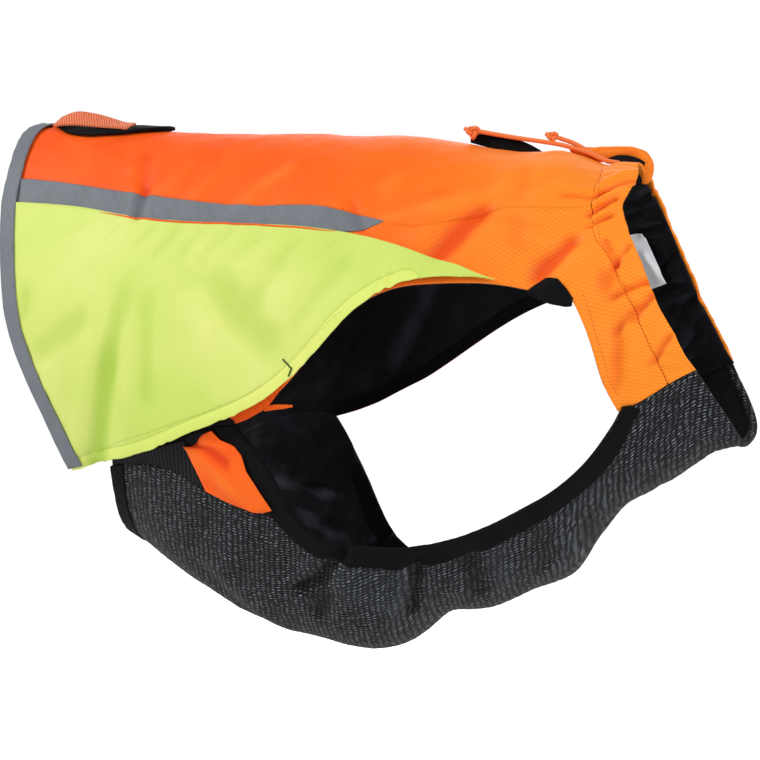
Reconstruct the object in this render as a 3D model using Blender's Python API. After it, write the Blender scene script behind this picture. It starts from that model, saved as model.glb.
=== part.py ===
"""Dog protective vest, filled out as it is worn, built as a cut-and-sewn cloth shell.

Frame: +X points to the neck opening, +Z up, the dog's right side is -Y ("near") and its
left side is +Y ("far"). The origin is where the animal's back carries the vest: the inner
face of the back, on the centre line. Sizes are in millimetres and turned to metres at the end.

Every cloth piece is a patch of one body surface. A point of that surface has an address
(x, girth): x runs along the body, and girth is the angle round it in degrees, 0 on the back
line, +90 half way down the far side, -90 half way down the near side and 180 on the belly.
A "lift" is a height over the surface, which is the outer face of the orange shell.
"""

import math

import bmesh
import bpy
from mathutils import Vector

for old in list(bpy.data.objects):
    bpy.data.objects.remove(old, do_unlink=True)

MM = 0.001

# ---------------------------------------------------------------- driving sizes (mm)
CLOTH = 1.0            # thickness of shell, lining and flap cloth
KNIT = 1.4             # thickness of the belly knit
GAP = 0.3              # clear space between layers
TRIM = 0.2             # each piece stops this far short of a seam line
CORD = 3.2             # diameter of the elastic cord
TAPE_THICK = 0.8       # reflective tape
BIND_THICK = 0.8       # folded binding, each leg
BIND_WIDTH = 13.5      # reach of the binding on the belly part
LEG_SHARE = 0.93       # share of that reach that a binding's legs have
REAR_BIND_WIDTH = 12.0
FACING_WIDTH = 11.0    # hem band inside the armhole
LINING_SHORT = 4.0     # the shell's hem turns this far inside the neck edge

# lifts of the faces of each layer
SHELL = (-CLOTH, 0.0)
LINING = (-CLOTH - GAP - CLOTH, -CLOTH - GAP)
FACING = (LINING[0] - GAP - 0.7, LINING[0] - GAP)
TAPE = (GAP, GAP + TAPE_THICK)
PATCH = (1.0, 1.9)
LABEL = (LINING[0] - 1.6, LINING[0] - 1.1)
KNIT_WALL = (-CLOTH, KNIT - CLOTH)
FLAP_LIFT = 1.7        # the flap hangs clear of the shell
FLAP_FLARE = 5.0       # and stands off more towards its hem
NAPE_CLEAR = 2.9       # the nape's lining stands this far over the back line

# ---------------------------------------------------------------- the body's own sections
# station x, height z of the back line
BACK_LINE = (
    (-320, 15), (-294, 15), (-204, 9.5), (-144, 6.5), (-116, 6.5), (-93, 8), (-79, 7),
    (-59, 2.5), (0, 2.3), (22, -1), (46, -7), (72, -11), (92, -9), (104, -11), (116, -15),
    (130, -21), (150, -20), (175, -28), (205, -42), (250, -70),
)
# station x, height z of the belly line
BELLY_LINE = (
    (-320, -296), (-260, -296), (-230, -291), (-197, -314), (-147, -341), (-113, -357),
    (-63, -364), (-33, -365), (-16, -362), (1, -352), (15, -339), (53, -329), (96, -312),
    (114, -300), (121, -282), (145, -254), (168, -243), (188, -226), (206, -216),
    (228, -212), (250, -213),
)
# station x, half width
HALF_WIDTH = (
    (-320, 66), (-290, 71), (-240, 81), (-200, 88), (-150, 94), (-100, 97), (-50, 98),
    (0, 96), (50, 92), (100, 86), (135, 79), (160, 69), (190, 58), (220, 49), (250, 34),
)

# ---------------------------------------------------------------- edges and seams
# rear edge of the back: girth, x
REAR_EDGE = (
    (0, -310), (9, -316), (23, -317), (45, -316), (56, -315), (70, -310), (86, -305),
    (94, -297), (109, -276), (120, -264), (131, -254),
)
# casing stitch line at the neck: girth, x
CASING_LINE = (
    (0, 133), (42, 133), (54, 138), (65, 151), (73, 157), (83, 168), (93, 174), (112, 187),
)
# neck edge: girth, near x, far x
NECK_EDGE = (
    (0, 151, 151), (12, 156, 151), (27, 158, 153), (36, 155, 155.5), (41, 153, 158),
    (49, 156, 162), (61, 166, 169), (75, 177, 179), (84, 183, 186), (92, 191, 194),
    (101, 196, 201), (109, 204, 207), (123, 214, 217), (142, 224, 229), (157, 227, 232),
    (171, 228, 229), (180, 228, 228),
)
# front edge of the armhole: girth, x
ARMHOLE_FRONT = ((75, 127), (83, 135), (94, 142), (104, 145), (117, 155))
# seam between back and side panels, which is also the top of the tape: x, z
SEAM_LINE = (
    (-320, -26), (-286, -28), (-207, -38), (-165, -44), (-105, -49), (-63, -49),
    (-40, -53), (-8, -60), (8, -64), (45, -58), (72, -50), (117, -52), (160, -47),
)
# bottom of the tape, carried on to the neck: x, z
TAPE_LOW = (
    (-320, -44), (-266, -47), (-228, -51), (-202, -57), (-161, -60), (-117, -62),
    (-66, -64), (-30, -69), (0, -75), (50, -78), (97, -72), (127, -70), (160, -66),
)
# lower edge of the side panel, the armhole's top edge from x = -112 on: x, near z, far z
ARMHOLE_TOP = (
    (-252, -236, -236), (-220, -228.5, -229), (-173, -217, -219), (-142, -204, -210),
    (-112, -199, -207), (-98, -194, -203), (-86, -186.5, -199), (-72, -173.5, -193),
    (-56, -156, -184),
    (-42, -135, -178), (-28, -121, -170), (-2, -106, -152), (20, -102.5, -138),
    (37, -102, -128), (64, -101, -116), (76, -102, -112), (98, -106, -106),
    (101, -101, -101), (106, -98, -98), (116, -98.5, -98.5), (124, -104, -104),
    (127, -111, -111), (145, -114, -114), (165, -114, -114), (182, -116, -116),
)
# hem of the loose flap: x, near z, far z
FLAP_HEM = (
    (-249, -238, -238), (-220, -230.5, -232), (-173, -218.5, -222), (-142, -206, -213),
    (-105, -193, -204), (-82, -182, -194), (-66, -170.5, -187), (-51, -156, -180),
    (-41, -143, -174), (-24, -123.5, -164), (-4, -109.5, -150), (11, -102.5, -139),
    (27, -99, -128), (51, -98.5, -113), (75, -101.5, -104),
)
# free upper edge of the flap in front of the tape: x, z
FLAP_TOP = ((-30, -69), (-5, -73.5), (16, -81), (32, -86), (50, -91), (75, -98.5))
# upper edge of the belly part: x, near z, far z; it is the armhole's lower edge
BELLY_TOP = (
    (-112, -202, -209), (-100, -214, -226), (-83, -238, -254), (-73, -262, -272),
    (-58, -278, -295), (-30, -284, -308), (10, -287, -306), (27, -283, -300),
    (50, -276, -290), (79, -263, -273), (96, -253, -261), (115, -243, -247),
    (121, -237, -240), (135, -224, -226), (145, -210, -211), (151, -198, -198),
    (156, -187, -187),
)
# top of the knit under the rear strap: x, z; its last point lies on the belly's upper edge
STRAP_SEAM = (
    (-219, -235), (-201, -232), (-176, -231.5), (-155, -238), (-136, -249), (-115, -258),
    (-97, -263), (-74, -264),
)
SEAM_DROP = 0.3         # girth between the chest's pieces and the knit
STRAP_STATIONS = (-219, -207, -184, -160, -137, -113, -89, -74)
STRAP_ELASTIC_END = 4  # station where the ribbed elastic meets the orange insert
# bottom seam between chest strip and knit: x, girth
BOTTOM_SEAM = ((155, 117.5), (172, 115.5), (187, 113.5), (206, 110))

# knots of the columns along each row: rear, strap, tape end, corner start, corner end, casing
COLUMNS = (6, 6, 6, 3, 2)
KNOTS = {
    "ridge": (-308.5, -150, -8, 95, 118, 133),
    "seam": (-314, -150, -8, 97, 120, 133),
    "tape_low": (-313, -150, -30, 97, 124, 142),
    "lower": (-252, -112, -36, 98, 127, 165),
}
BACK_ROWS = 4
SIDE_ROWS = 6
CHEST_ROWS = 4

# ---------------------------------------------------------------- largest folds
# start x, z; end x, z; half width; height (negative is a trough)
FOLDS = (
    ((-212, -10), (-216, -42), 15, -2.5),
    ((-92, 0), (-128, -40), 18, -2.0),
    ((-30, -8), (-58, -40), 18, 2.5),
    ((12, -12), (-4, -52), 14, -3.0),
    ((62, -60), (44, -80), 13, -3.5),
    ((116, -70), (102, -92), 12, -3.5),
    ((82, -30), (118, -42), 14, 2.0),
    ((154, -132), (160, -168), 12, -2.5),
    ((-72, -306), (-88, -345), 14, -4.5),
    ((-36, -325), (-44, -352), 20, 4.0),
    ((6, -320), (12, -352), 14, -5.0),
    ((40, -312), (46, -330), 16, 2.5),
    ((76, -300), (84, -318), 14, -3.0),
    ((106, -285), (110, -305), 14, 3.5),
    ((130, -258), (134, -270), 12, -3.5),
    ((176, -228), (196, -218), 12, 3.0),
)
# waves of the loose flap, which hangs clear of the shell: top x, hem x, half width, height
FLAP_WAVES = (
    (-262, -236, 20, 4.0), (-196, -186, 24, 5.0), (-120, -112, 24, 3.5), (-58, -66, 16, 3.0),
    (8, -8, 14, 2.0),
)


def smooth(table, at, column=1):
    """Value of a table's column at a place between its rows, on a smooth curve."""
    last = len(table) - 1
    if at <= table[0][0]:
        return table[0][column]
    if at >= table[last][0]:
        return table[last][column]
    k = max(i for i in range(last) if table[i][0] <= at)

    def slope(i):
        low, high = max(i - 1, 0), min(i + 1, last)
        return (table[high][column] - table[low][column]) / (table[high][0] - table[low][0])

    run = table[k + 1][0] - table[k][0]
    t = (at - table[k][0]) / run
    start, end = table[k][column], table[k + 1][column]
    ease = t * t * (3 - 2 * t)
    bow = run * (slope(k) * t * (1 - t) ** 2 - slope(k + 1) * t * t * (1 - t))
    return start + (end - start) * ease + bow


def mix(a, b, t):
    return a + (b - a) * t


def section(x):
    """Middle height, half height and half width of the body at a station."""
    back, belly = smooth(BACK_LINE, x), smooth(BELLY_LINE, x)
    return (back + belly) / 2, (back - belly) / 2, smooth(HALF_WIDTH, x)


def girth_of(x, z):
    """Girth angle, without its sign, of the surface point at a height."""
    middle, half_height, _ = section(x)
    return math.degrees(math.acos(max(-1.0, min(1.0, (z - middle) / half_height))))


def fold_height(x, z):
    """Sum of the folds at a point of the smooth body."""
    total = 0.0
    for (x0, z0), (x1, z1), half_width, height in FOLDS:
        run_x, run_z = x1 - x0, z1 - z0
        length = math.hypot(run_x, run_z)
        along = ((x - x0) * run_x + (z - z0) * run_z) / length
        across = ((x - x0) * run_z - (z - z0) * run_x) / length
        past = max(0.0, -along, along - length)
        total += height * math.exp(-((across / half_width) ** 2) - (past / half_width) ** 2)
    return total


def body_point(x, girth):
    """Point of the folded body surface at an address."""
    middle, half_height, half_width = section(x)
    turn = math.radians(girth)
    y, z = half_width * math.sin(turn), middle + half_height * math.cos(turn)
    out = Vector((0, math.sin(turn) / half_width, math.cos(turn) / half_height)).normalized()
    return Vector((x, y, z)) + out * fold_height(x, z)


def body_normal(x, girth):
    along = body_point(x + 1.5, girth) - body_point(x - 1.5, girth)
    around = body_point(x, girth + 1.0) - body_point(x, girth - 1.0)
    return around.cross(-along).normalized()


def place(address, lift=0.0):
    return body_point(*address) + body_normal(*address) * lift


# ---------------------------------------------------------------- solids and materials
def linear(code):
    """Linear colour of a hex code."""
    values = [int(code[i:i + 2], 16) / 255 for i in (0, 2, 4)]
    return [v / 12.92 if v <= 0.04045 else ((v + 0.055) / 1.055) ** 2.4 for v in values] + [1]


def cloth(name, code, roughness):
    material = bpy.data.materials.new(name)
    material.use_nodes = True
    shader = material.node_tree.nodes["Principled BSDF"]
    shader.inputs["Base Color"].default_value = linear(code)
    shader.inputs["Roughness"].default_value = roughness
    shader.inputs["Metallic"].default_value = 0.0
    return material


COLOUR = {
    "shell": cloth("orange ripstop", "fb6b2a", 0.55),
    "flap": cloth("yellow fabric", "d8e477", 0.6),
    "tape": cloth("grey reflective tape", "777b82", 0.4),
    "lining": cloth("black lining", "101012", 0.7),
    "knit": cloth("black knit", "2e3035", 0.8),
    "binding": cloth("black binding", "1a1a1e", 0.6),
    "elastic": cloth("ribbed elastic", "17171a", 0.7),
    "webbing": cloth("orange webbing", "f08a5c", 0.6),
    "cord": cloth("orange cord", "f5874f", 0.5),
    "label": cloth("white label", "d9dade", 0.7),
}


def make_object(name, shape, material):
    """Object of a closed bmesh whose sizes are in millimetres."""
    bmesh.ops.recalc_face_normals(shape, faces=shape.faces)
    bmesh.ops.scale(shape, vec=(MM, MM, MM), verts=shape.verts)
    mesh = bpy.data.meshes.new(name)
    shape.to_mesh(mesh)
    shape.free()
    mesh.materials.append(COLOUR[material])
    mesh.shade_smooth()
    mesh.set_sharp_from_angle(angle=math.radians(40))
    piece = bpy.data.objects.new(name, mesh)
    bpy.context.scene.collection.objects.link(piece)
    return piece


def wall(name, blocks, lifts, material, trim=TRIM, swell=None):
    """Closed cloth wall over one or more blocks, each a grid of addresses in rows.

    Blocks that share addresses are joined. swell(x, girth) adds to the outer face alone.
    """
    shape = bmesh.new()
    known = {}

    def corner(address):
        key = (round(address[0], 3), round(address[1] % 360, 3))
        if key not in known:
            known[key] = (shape.verts.new(place(address)), address)
        return known[key][0]

    for rows in blocks:
        for upper, lower in zip(rows, rows[1:]):
            for a, b, c, d in zip(upper, upper[1:], lower[1:], lower):
                shape.faces.new([corner(p) for p in (a, b, c)])
                shape.faces.new([corner(p) for p in (a, c, d)])
    shape.verts.index_update()
    address_of = [None] * len(known)
    for vert, address in known.values():
        address_of[vert.index] = address
    shifts = []
    for vert in shape.verts:
        shift = Vector()
        if vert.is_boundary:
            for face in vert.link_faces:
                shift += (face.calc_center_median() - vert.co).normalized()
            normal = body_normal(*address_of[vert.index])
            shift -= normal * shift.dot(normal)
            shift = shift.normalized() * trim
        shifts.append(shift)
    outer = list(shape.verts)
    faces = [[v.index for v in face.verts] for face in shape.faces]
    rim = [[v.index for v in edge.verts] for edge in shape.edges if edge.is_boundary]
    inner = []
    for vert, address, shift in zip(outer, address_of, shifts):
        normal = body_normal(*address)
        base = vert.co + shift
        extra = swell(*address) if swell else 0.0
        vert.co = base + normal * (lifts[1] + extra)
        inner.append(shape.verts.new(base + normal * lifts[0]))
    for ids in faces:
        shape.faces.new([inner[i] for i in reversed(ids)])
    for a, b in rim:
        shape.faces.new([outer[a], outer[b], inner[b], inner[a]])
    return make_object(name, shape, material)


def loft(name, sections, material):
    """Closed solid through sections that have the same number of points."""
    shape = bmesh.new()
    rings = [[shape.verts.new(p) for p in section_points] for section_points in sections]
    count = len(rings[0])
    for ring, following in zip(rings, rings[1:]):
        for k in range(count):
            m = (k + 1) % count
            shape.faces.new([ring[k], ring[m], following[m], following[k]])
    shape.faces.new(rings[0])
    shape.faces.new(rings[-1])
    return make_object(name, shape, material)


def binding(name, edge, inner, tops, low, material, turned):
    """Folded binding round an edge: a leg on each face of the panel and a fold past it.

    edge and inner are the panel's outermost and next points, so both legs have the panel's
    own facets. tops is the lift of what the outer leg covers and low the inner face. A span
    is turned where the panel's facets are split from the inner point of its first section.
    """
    shape = bmesh.new()
    sections = []
    for k, (start, following, top) in enumerate(zip(edge, inner, tops)):
        ahead = place(edge[min(k + 1, len(edge) - 1)]) - place(edge[max(k - 1, 0)])
        past = ahead.cross(body_normal(*start)).normalized()
        past *= math.copysign(1.0, past.dot(place(start) - place(following)))
        outside, inside = top + BIND_THICK, low - BIND_THICK
        sections.append([shape.verts.new(p) for p in (
            place(start, top).lerp(place(following, top), LEG_SHARE),
            place(start, outside).lerp(place(following, outside), LEG_SHARE),
            place(start, outside) + past * (TRIM + BIND_THICK),
            place(start, inside) + past * (TRIM + BIND_THICK),
            place(start, inside).lerp(place(following, inside), LEG_SHARE),
            place(start, low).lerp(place(following, low), LEG_SHARE),
            place(start, low) + past * TRIM,
            place(start, top) + past * TRIM,
        )])
    count = len(sections[0])
    for ring, following, other_way in zip(sections, sections[1:], turned):
        for k in range(count):
            m = (k + 1) % count
            a, b, c, d = ring[k], ring[m], following[m], following[k]
            if (k in (3, 7)) != other_way:
                shape.faces.new([a, b, c])
                shape.faces.new([a, c, d])
            else:
                shape.faces.new([a, b, d])
                shape.faces.new([b, c, d])
    shape.faces.new(sections[0])
    shape.faces.new(sections[-1])
    return make_object(name, shape, material)


def ribbon(name, route, across, widths, thick, material):
    """Flat strip along a route of points, across[i] being its width's direction there."""
    sections = []
    for i, point in enumerate(route):
        ahead = route[min(i + 1, len(route) - 1)] - route[max(i - 1, 0)]
        wide = (across[i] - ahead.normalized() * across[i].dot(ahead.normalized())).normalized()
        flat = wide.cross(ahead).normalized()
        half, deep = wide * widths[i] / 2, flat * thick / 2
        sections.append([point + half + deep, point + half - deep, point - half - deep, point - half + deep])
    return loft(name, sections, material)


def curve_points(points, count):
    """Points evenly spaced in parameter on a smooth curve through the given points."""
    table = [(i, *p) for i, p in enumerate(points)]
    steps = [i * (len(points) - 1) / (count - 1) for i in range(count)]
    return [Vector([smooth(table, t, k) for k in (1, 2, 3)]) for t in steps]


# ---------------------------------------------------------------- the shell's pattern grid
def side_name(side):
    return "near" if side < 0 else "far"


def column_of(side):
    """Column of a near/far table that holds a side's values."""
    return 1 if side < 0 else 2


def stations(row):
    """Column positions along a row as (x, share of the way from the rear to the strap)."""
    found = []
    for (start, end), count in zip(zip(KNOTS[row], KNOTS[row][1:]), COLUMNS):
        found += [mix(start, end, k / count) for k in range(count)]
    found[1:COLUMNS[0]] = [mix(found[0] + REAR_BIND_WIDTH, KNOTS[row][1], k / (COLUMNS[0] - 1))
                           for k in range(COLUMNS[0] - 1)]
    return found + [KNOTS[row][-1]]


def rear_share(column):
    """How much of the rear edge's shape a column still follows."""
    return 1.0 if column < 2 else max(0.0, 1 - (column - 1) / (COLUMNS[0] - 1))


def casing_share(column):
    first = sum(COLUMNS[:4])
    return max(0.0, (column - first) / COLUMNS[4])


def fit_ends(row):
    """Row of addresses whose ends are moved to the rear edge and the casing line."""
    rear = smooth(REAR_EDGE, abs(row[0][1])) + 1.0 - row[0][0]
    front = smooth(CASING_LINE, abs(row[-1][1])) - row[-1][0]
    return [(x + rear * rear_share(i) + front * casing_share(i), g) for i, (x, g) in enumerate(row)]


def row_on(table_name, heights, side):
    """Row of addresses on a line whose height is heights(x)."""
    return [(x, side * girth_of(x, heights(x))) for x in stations(table_name)]


def blend_rows(first, last, count):
    """Rows from first to last, both included."""
    rows = []
    for k in range(count + 1):
        t = k / count
        rows.append([(mix(a[0], b[0], t), mix(a[1], b[1], t)) for a, b in zip(first, last)])
    return rows


def shell_rows(side):
    """All rows of one side of the shell, from the back line to the lower edge."""
    column = column_of(side)
    ridge = [(x, 0.0) for x in stations("ridge")]
    seam = row_on("seam", lambda x: smooth(SEAM_LINE, x), side)
    tape_low = row_on("tape_low", lambda x: smooth(TAPE_LOW, x), side)
    hem = row_on("lower", lambda x: smooth(ARMHOLE_TOP, x, column) + FACING_WIDTH, side)
    lower = row_on("lower", lambda x: smooth(ARMHOLE_TOP, x, column), side)
    rows = blend_rows(ridge, seam, BACK_ROWS)
    rows += blend_rows(tape_low, hem, SIDE_ROWS) + [lower]
    return [fit_ends(row) for row in rows]


SEAM_ROW = BACK_ROWS
TAPE_ROW = BACK_ROWS + 1
HEM_ROW = TAPE_ROW + SIDE_ROWS
STRAP_COLUMN = COLUMNS[0]
TAPE_END = COLUMNS[0] + COLUMNS[1]
CORNER_START = TAPE_END + COLUMNS[2]
CORNER_END = CORNER_START + COLUMNS[3]


def chest_rows(side, lower):
    """Rows of the chest strip in front of the armhole, under the shell's lower row."""
    first = lower[CORNER_END:]
    rows = [first]
    for k in range(1, CHEST_ROWS + 1):
        t = k / CHEST_ROWS
        row = []
        for j, (x, girth) in enumerate(first):
            across = j / (len(first) - 1)
            low_x = mix(BOTTOM_SEAM[0][0], smooth(CASING_LINE, 113), across)
            g = mix(abs(girth), smooth(BOTTOM_SEAM, low_x), t)
            row.append((mix(smooth(ARMHOLE_FRONT, g), smooth(CASING_LINE, g), across), side * g))
        rows.append(row)
    return rows


ROWS = {side: shell_rows(side) for side in (-1, 1)}
CHEST = {side: chest_rows(side, ROWS[side][-1]) for side in (-1, 1)}


def neck_x(girth):
    """Neck edge at a signed girth."""
    angle = abs((girth + 180) % 360 - 180)
    return smooth(NECK_EDGE, angle, 1 if (girth % 360) > 180 else 2)


def build_back():
    """One back panel over the back line, from seam to seam."""
    wall("back_panel", [ROWS[side][:SEAM_ROW + 1] for side in (-1, 1)], SHELL, "shell")


def build_sides():
    for side in (-1, 1):
        rows = ROWS[side][SEAM_ROW:]
        wall("side_panel_" + side_name(side), [rows, CHEST[side]], SHELL, "shell")


def lining_front(address):
    """Front end of the lining in line with a point of the casing line."""
    girth = address[1]
    low = girth
    if abs(girth) > 112:
        low = math.copysign(smooth(BOTTOM_SEAM, neck_x(girth) - LINING_SHORT), girth)
    return neck_x(girth) - LINING_SHORT, low


def build_lining():
    """Lining inside back and sides, up to the turned hem of the neck."""
    blocks = []
    for side in (-1, 1):
        for rows in (ROWS[side], CHEST[side]):
            blocks.append([row + [lining_front(row[-1])] for row in rows])
    wall("body_lining", blocks, LINING, "lining")


def build_facings():
    """Hem band inside the armhole's top edge."""
    for side in (-1, 1):
        rows = [row[STRAP_COLUMN:CORNER_END + 1] for row in ROWS[side][HEM_ROW:]]
        wall("armhole_facing_" + side_name(side), [rows], FACING, "binding")


# ---------------------------------------------------------------- neck casing
CASING = (-0.6, 0.4)
CASING_SPLIT = 2.5     # girth at which the two casings end beside the nape
CASING_PUFF = 1.4
GATHER = 0.6           # half height of the gathers


def casing_start(side):
    """Addresses of the panel ends that the casing is sewn to, from the nape to the chest."""
    return [row[-1] for row in ROWS[side]] + [row[-1] for row in CHEST[side][1:]]


def between(points, t):
    """Address at a share of the way through a row of addresses."""
    place_in = t * (len(points) - 1)
    k = min(int(place_in), len(points) - 2)
    (x0, g0), (x1, g1) = points[k], points[k + 1]
    return mix(x0, x1, place_in - k), mix(g0, g1, place_in - k)


def build_casings():
    """Gathered casing between the stitch line and the neck edge, one each side."""
    for side in (-1, 1):
        ends = casing_start(side)
        steps = 2 * (len(ends) - 1)
        block = []
        for k in range(steps + 1):
            start = between(ends, k / steps)
            if k == 0:
                start = (start[0], side * CASING_SPLIT)
            end_girth = side * min(abs(start[1]), BOTTOM_SEAM[-1][1])
            end = (neck_x(end_girth), end_girth)
            block.append([(mix(start[0], end[0], j / 2), mix(start[1], end[1], j / 2)) for j in range(3)])
        height = {}
        for k, row in enumerate(block):
            for j, address in enumerate(row):
                crown = (0.0, 1.0, 0.45)[j] * (k < steps)
                height[address] = CASING_PUFF * crown + GATHER * (-1) ** k * (0.2 + crown) * (k < steps)
        wall("neck_casing_" + side_name(side), [block], CASING, "shell",
             swell=lambda x, g: height[(x, g)])


# ---------------------------------------------------------------- flap and tape
FLAP_COLUMNS = 16
FLAP_ROWS = SIDE_ROWS + 1
FLAP_LAST = 0.86       # share of the drop at which the last but one row lies, as on the shell


def flap_rows(side):
    """Rows of the loose flap, from the tape's lower edge to its hem."""
    column = column_of(side)
    rows = []
    for j in range(FLAP_ROWS + 1):
        v = 1.0 if j == FLAP_ROWS else FLAP_LAST * j / (FLAP_ROWS - 1)
        row = []
        for k in range(FLAP_COLUMNS + 1):
            top_x, hem_x = mix(-313, 75, k / FLAP_COLUMNS), mix(-252, 75, k / FLAP_COLUMNS)
            line = TAPE_LOW if top_x < FLAP_TOP[0][0] else FLAP_TOP
            top, hem = girth_of(top_x, smooth(line, top_x)), girth_of(hem_x, smooth(FLAP_HEM, hem_x, column))
            row.append((mix(top_x, hem_x, v), mix(top, hem, v)))
        shift = smooth(REAR_EDGE, row[0][1]) + 2.0 - row[0][0]
        row = [(x + shift * (1 - k / FLAP_COLUMNS) ** 2, side * g) for k, (x, g) in enumerate(row)]
        rows.append(row)
    return rows


def flap_lift(row, column, x):
    """How far the flap's inner face stands off the shell."""
    down = row / FLAP_ROWS
    free = min(1.0, max(0, column - 1) / 3) * (0.3 + 0.7 * min(1.0, (FLAP_COLUMNS - column) / 3))
    wave = sum(height * math.exp(-((x - mix(top, hem, down)) / half_width) ** 2)
               for top, hem, half_width, height in FLAP_WAVES)
    return FLAP_LIFT + free * (FLAP_FLARE * down ** 1.5 + wave * min(1.0, down * 2))


def build_flaps():
    """Loose flap on each side, sewn under the tape and standing off towards its hem."""
    for side in (-1, 1):
        shape = bmesh.new()
        grids = []
        for thick in (0.0, CLOTH):
            grids.append([[shape.verts.new(place(address, flap_lift(j, k, address[0]) + thick))
                           for k, address in enumerate(row)] for j, row in enumerate(flap_rows(side))])
        for grid in grids:
            for upper, lower in zip(grid, grid[1:]):
                for a, b, c, d in zip(upper, upper[1:], lower[1:], lower):
                    shape.faces.new([a, b, c])
                    shape.faces.new([a, c, d])
        inner, outer = [grid[0] + [row[-1] for row in grid[1:]] + grid[-1][-2::-1]
                        + [row[0] for row in grid[-2:0:-1]] for grid in grids]
        for k in range(len(inner)):
            m = (k + 1) % len(inner)
            shape.faces.new([inner[k], inner[m], outer[m], outer[k]])
        make_object("flap_" + side_name(side), shape, "flap")


def build_tapes():
    for side in (-1, 1):
        rows = [row[:TAPE_END + 1] for row in ROWS[side][SEAM_ROW:TAPE_ROW + 1]]
        wall("tape_" + side_name(side), [rows], TAPE, "tape", trim=0.1)


def build_rear_binding():
    """Reflective binding round the rear edge, from corner to corner over the back line."""
    rows = ROWS[-1][:0:-1] + ROWS[1]
    near = len(ROWS[-1]) - 1
    edge, inner = [row[0] for row in rows], [row[1] for row in rows]
    under_flap = FLAP_LIFT + CLOTH + 0.5
    tops = []
    for k in range(len(edge)):
        row = abs(k - near)
        tops.append(TAPE[1] + GAP if row <= SEAM_ROW else under_flap + 0.7 * (row >= HEM_ROW))
    binding("rear_binding", edge, inner, tops, LINING[0] - GAP, "tape",
            [k < near for k in range(len(edge))])


# ---------------------------------------------------------------- belly
BELLY_COLUMNS = (7, 16, 4)  # strap, armhole, chest
BELLY_ROWS = 6
CORNER_STEP = 3.0      # the armhole binding ends this far behind the chest seam
BELLY_MIDDLE = (-231, -90, 186, 228)  # x of the same columns on the belly line


def strap_point(x, side):
    """Address on the seam between the strap and the knit."""
    if x == STRAP_STATIONS[-1]:
        return x, side * girth_of(x, smooth(BELLY_TOP, x, column_of(side)))
    return x, side * girth_of(x, smooth(STRAP_SEAM, x))


def belly_top_row(side):
    """Upper row of the belly part, from the rear edge to the neck edge."""
    column = column_of(side)
    row = [strap_point(x, side) for x in STRAP_STATIONS[:-1]]
    start, end = STRAP_STATIONS[-1], BOTTOM_SEAM[0][0] + 1
    for k in range(BELLY_COLUMNS[1]):
        x = mix(start, end - CORNER_STEP, k / (BELLY_COLUMNS[1] - 1))
        row.append((x, side * girth_of(x, smooth(BELLY_TOP, x, column))))
    casing = CHEST[side][-1][-1][0]
    front = neck_x(side * BOTTOM_SEAM[-1][1])
    for start, stop in ((end, casing), (casing, front)):
        for t in (0.0, 0.5):
            girth = mix(smooth(BOTTOM_SEAM, start), smooth(BOTTOM_SEAM, stop), t)
            row.append((mix(start, stop, t), side * (girth + SEAM_DROP)))
    return row + [(front, side * (BOTTOM_SEAM[-1][1] + SEAM_DROP))]


def inward_row(row, distance):
    """Row of addresses a distance inside a row that is a piece's edge."""
    found = []
    for k, (x, g) in enumerate(row):
        ahead = place(row[min(k + 1, len(row) - 1)]) - place(row[max(k - 1, 0)])
        inward = ahead.cross(body_normal(x, g)).normalized() * math.copysign(distance, -g)
        along = (body_point(x + 1, g) - body_point(x - 1, g)) / 2
        around = (body_point(x, g + 1) - body_point(x, g - 1)) / 2
        xx, xg, gg = along.dot(along), along.dot(around), around.dot(around)
        a, b = inward.dot(along), inward.dot(around)
        spread = xx * gg - xg * xg
        found.append((x + (a * gg - b * xg) / spread, g + (b * xx - a * xg) / spread))
    return found


def belly_side(side):
    """Rows of one side of the belly part, from its upper edge to the belly line."""
    top = belly_top_row(side)
    second = inward_row(top, BIND_WIDTH)
    second[0] = (top[0][0] - 1.0, second[0][1])
    second[1] = (second[0][0] + REAR_BIND_WIDTH, second[1][1])
    middle = []
    for (start, end), count in zip(zip(BELLY_MIDDLE, BELLY_MIDDLE[1:]), BELLY_COLUMNS):
        middle += [mix(start, end, k / count) for k in range(count)]
    middle[1] = middle[0] + REAR_BIND_WIDTH
    middle.append(BELLY_MIDDLE[-1])
    rows = [top]
    for j in range(BELLY_ROWS):
        v = j / (BELLY_ROWS - 1)
        row = []
        for (x, g), low_x in zip(second, middle):
            row.append((mix(x, low_x, 1 - (1 - v) ** 1.6), side * mix(abs(g), 180, v)))
        row[-1] = (neck_x(row[-1][1]), row[-1][1])
        rows.append(row)
    return rows


BELLY = {side: belly_side(side) for side in (-1, 1)}


def build_belly():
    wall("belly_panel", [BELLY[-1], BELLY[1]], KNIT_WALL, "knit")
    straps = []
    for side in (-1, 1):
        seam = BELLY[side][0][:len(STRAP_STATIONS)]
        straps.append(strap_rows(side)[:-1] + [seam])
    wall("belly_lining", [BELLY[-1], BELLY[1]] + straps, LINING, "lining", trim=0.4)


def build_belly_bindings():
    """Black binding along the armhole's rear, lower and front edge."""
    strap, armhole, _ = BELLY_COLUMNS
    top = KNIT_WALL[1] + GAP
    for side in (-1, 1):
        insert = strap_insert_rows(side)
        edge, inner = [row[-1] for row in insert], [row[-2] for row in insert]
        edge[-1] = tuple(mix(a, b, 0.95) for a, b in zip(edge[-2], edge[-1]))
        edge += BELLY[side][0][strap:strap + armhole]
        inner += BELLY[side][1][strap:strap + armhole]
        binding("belly_binding_" + side_name(side), edge, inner, [top] * len(edge), LINING[0] - GAP,
                "binding", [k < STRAP_ROWS for k in range(len(edge))])


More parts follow.
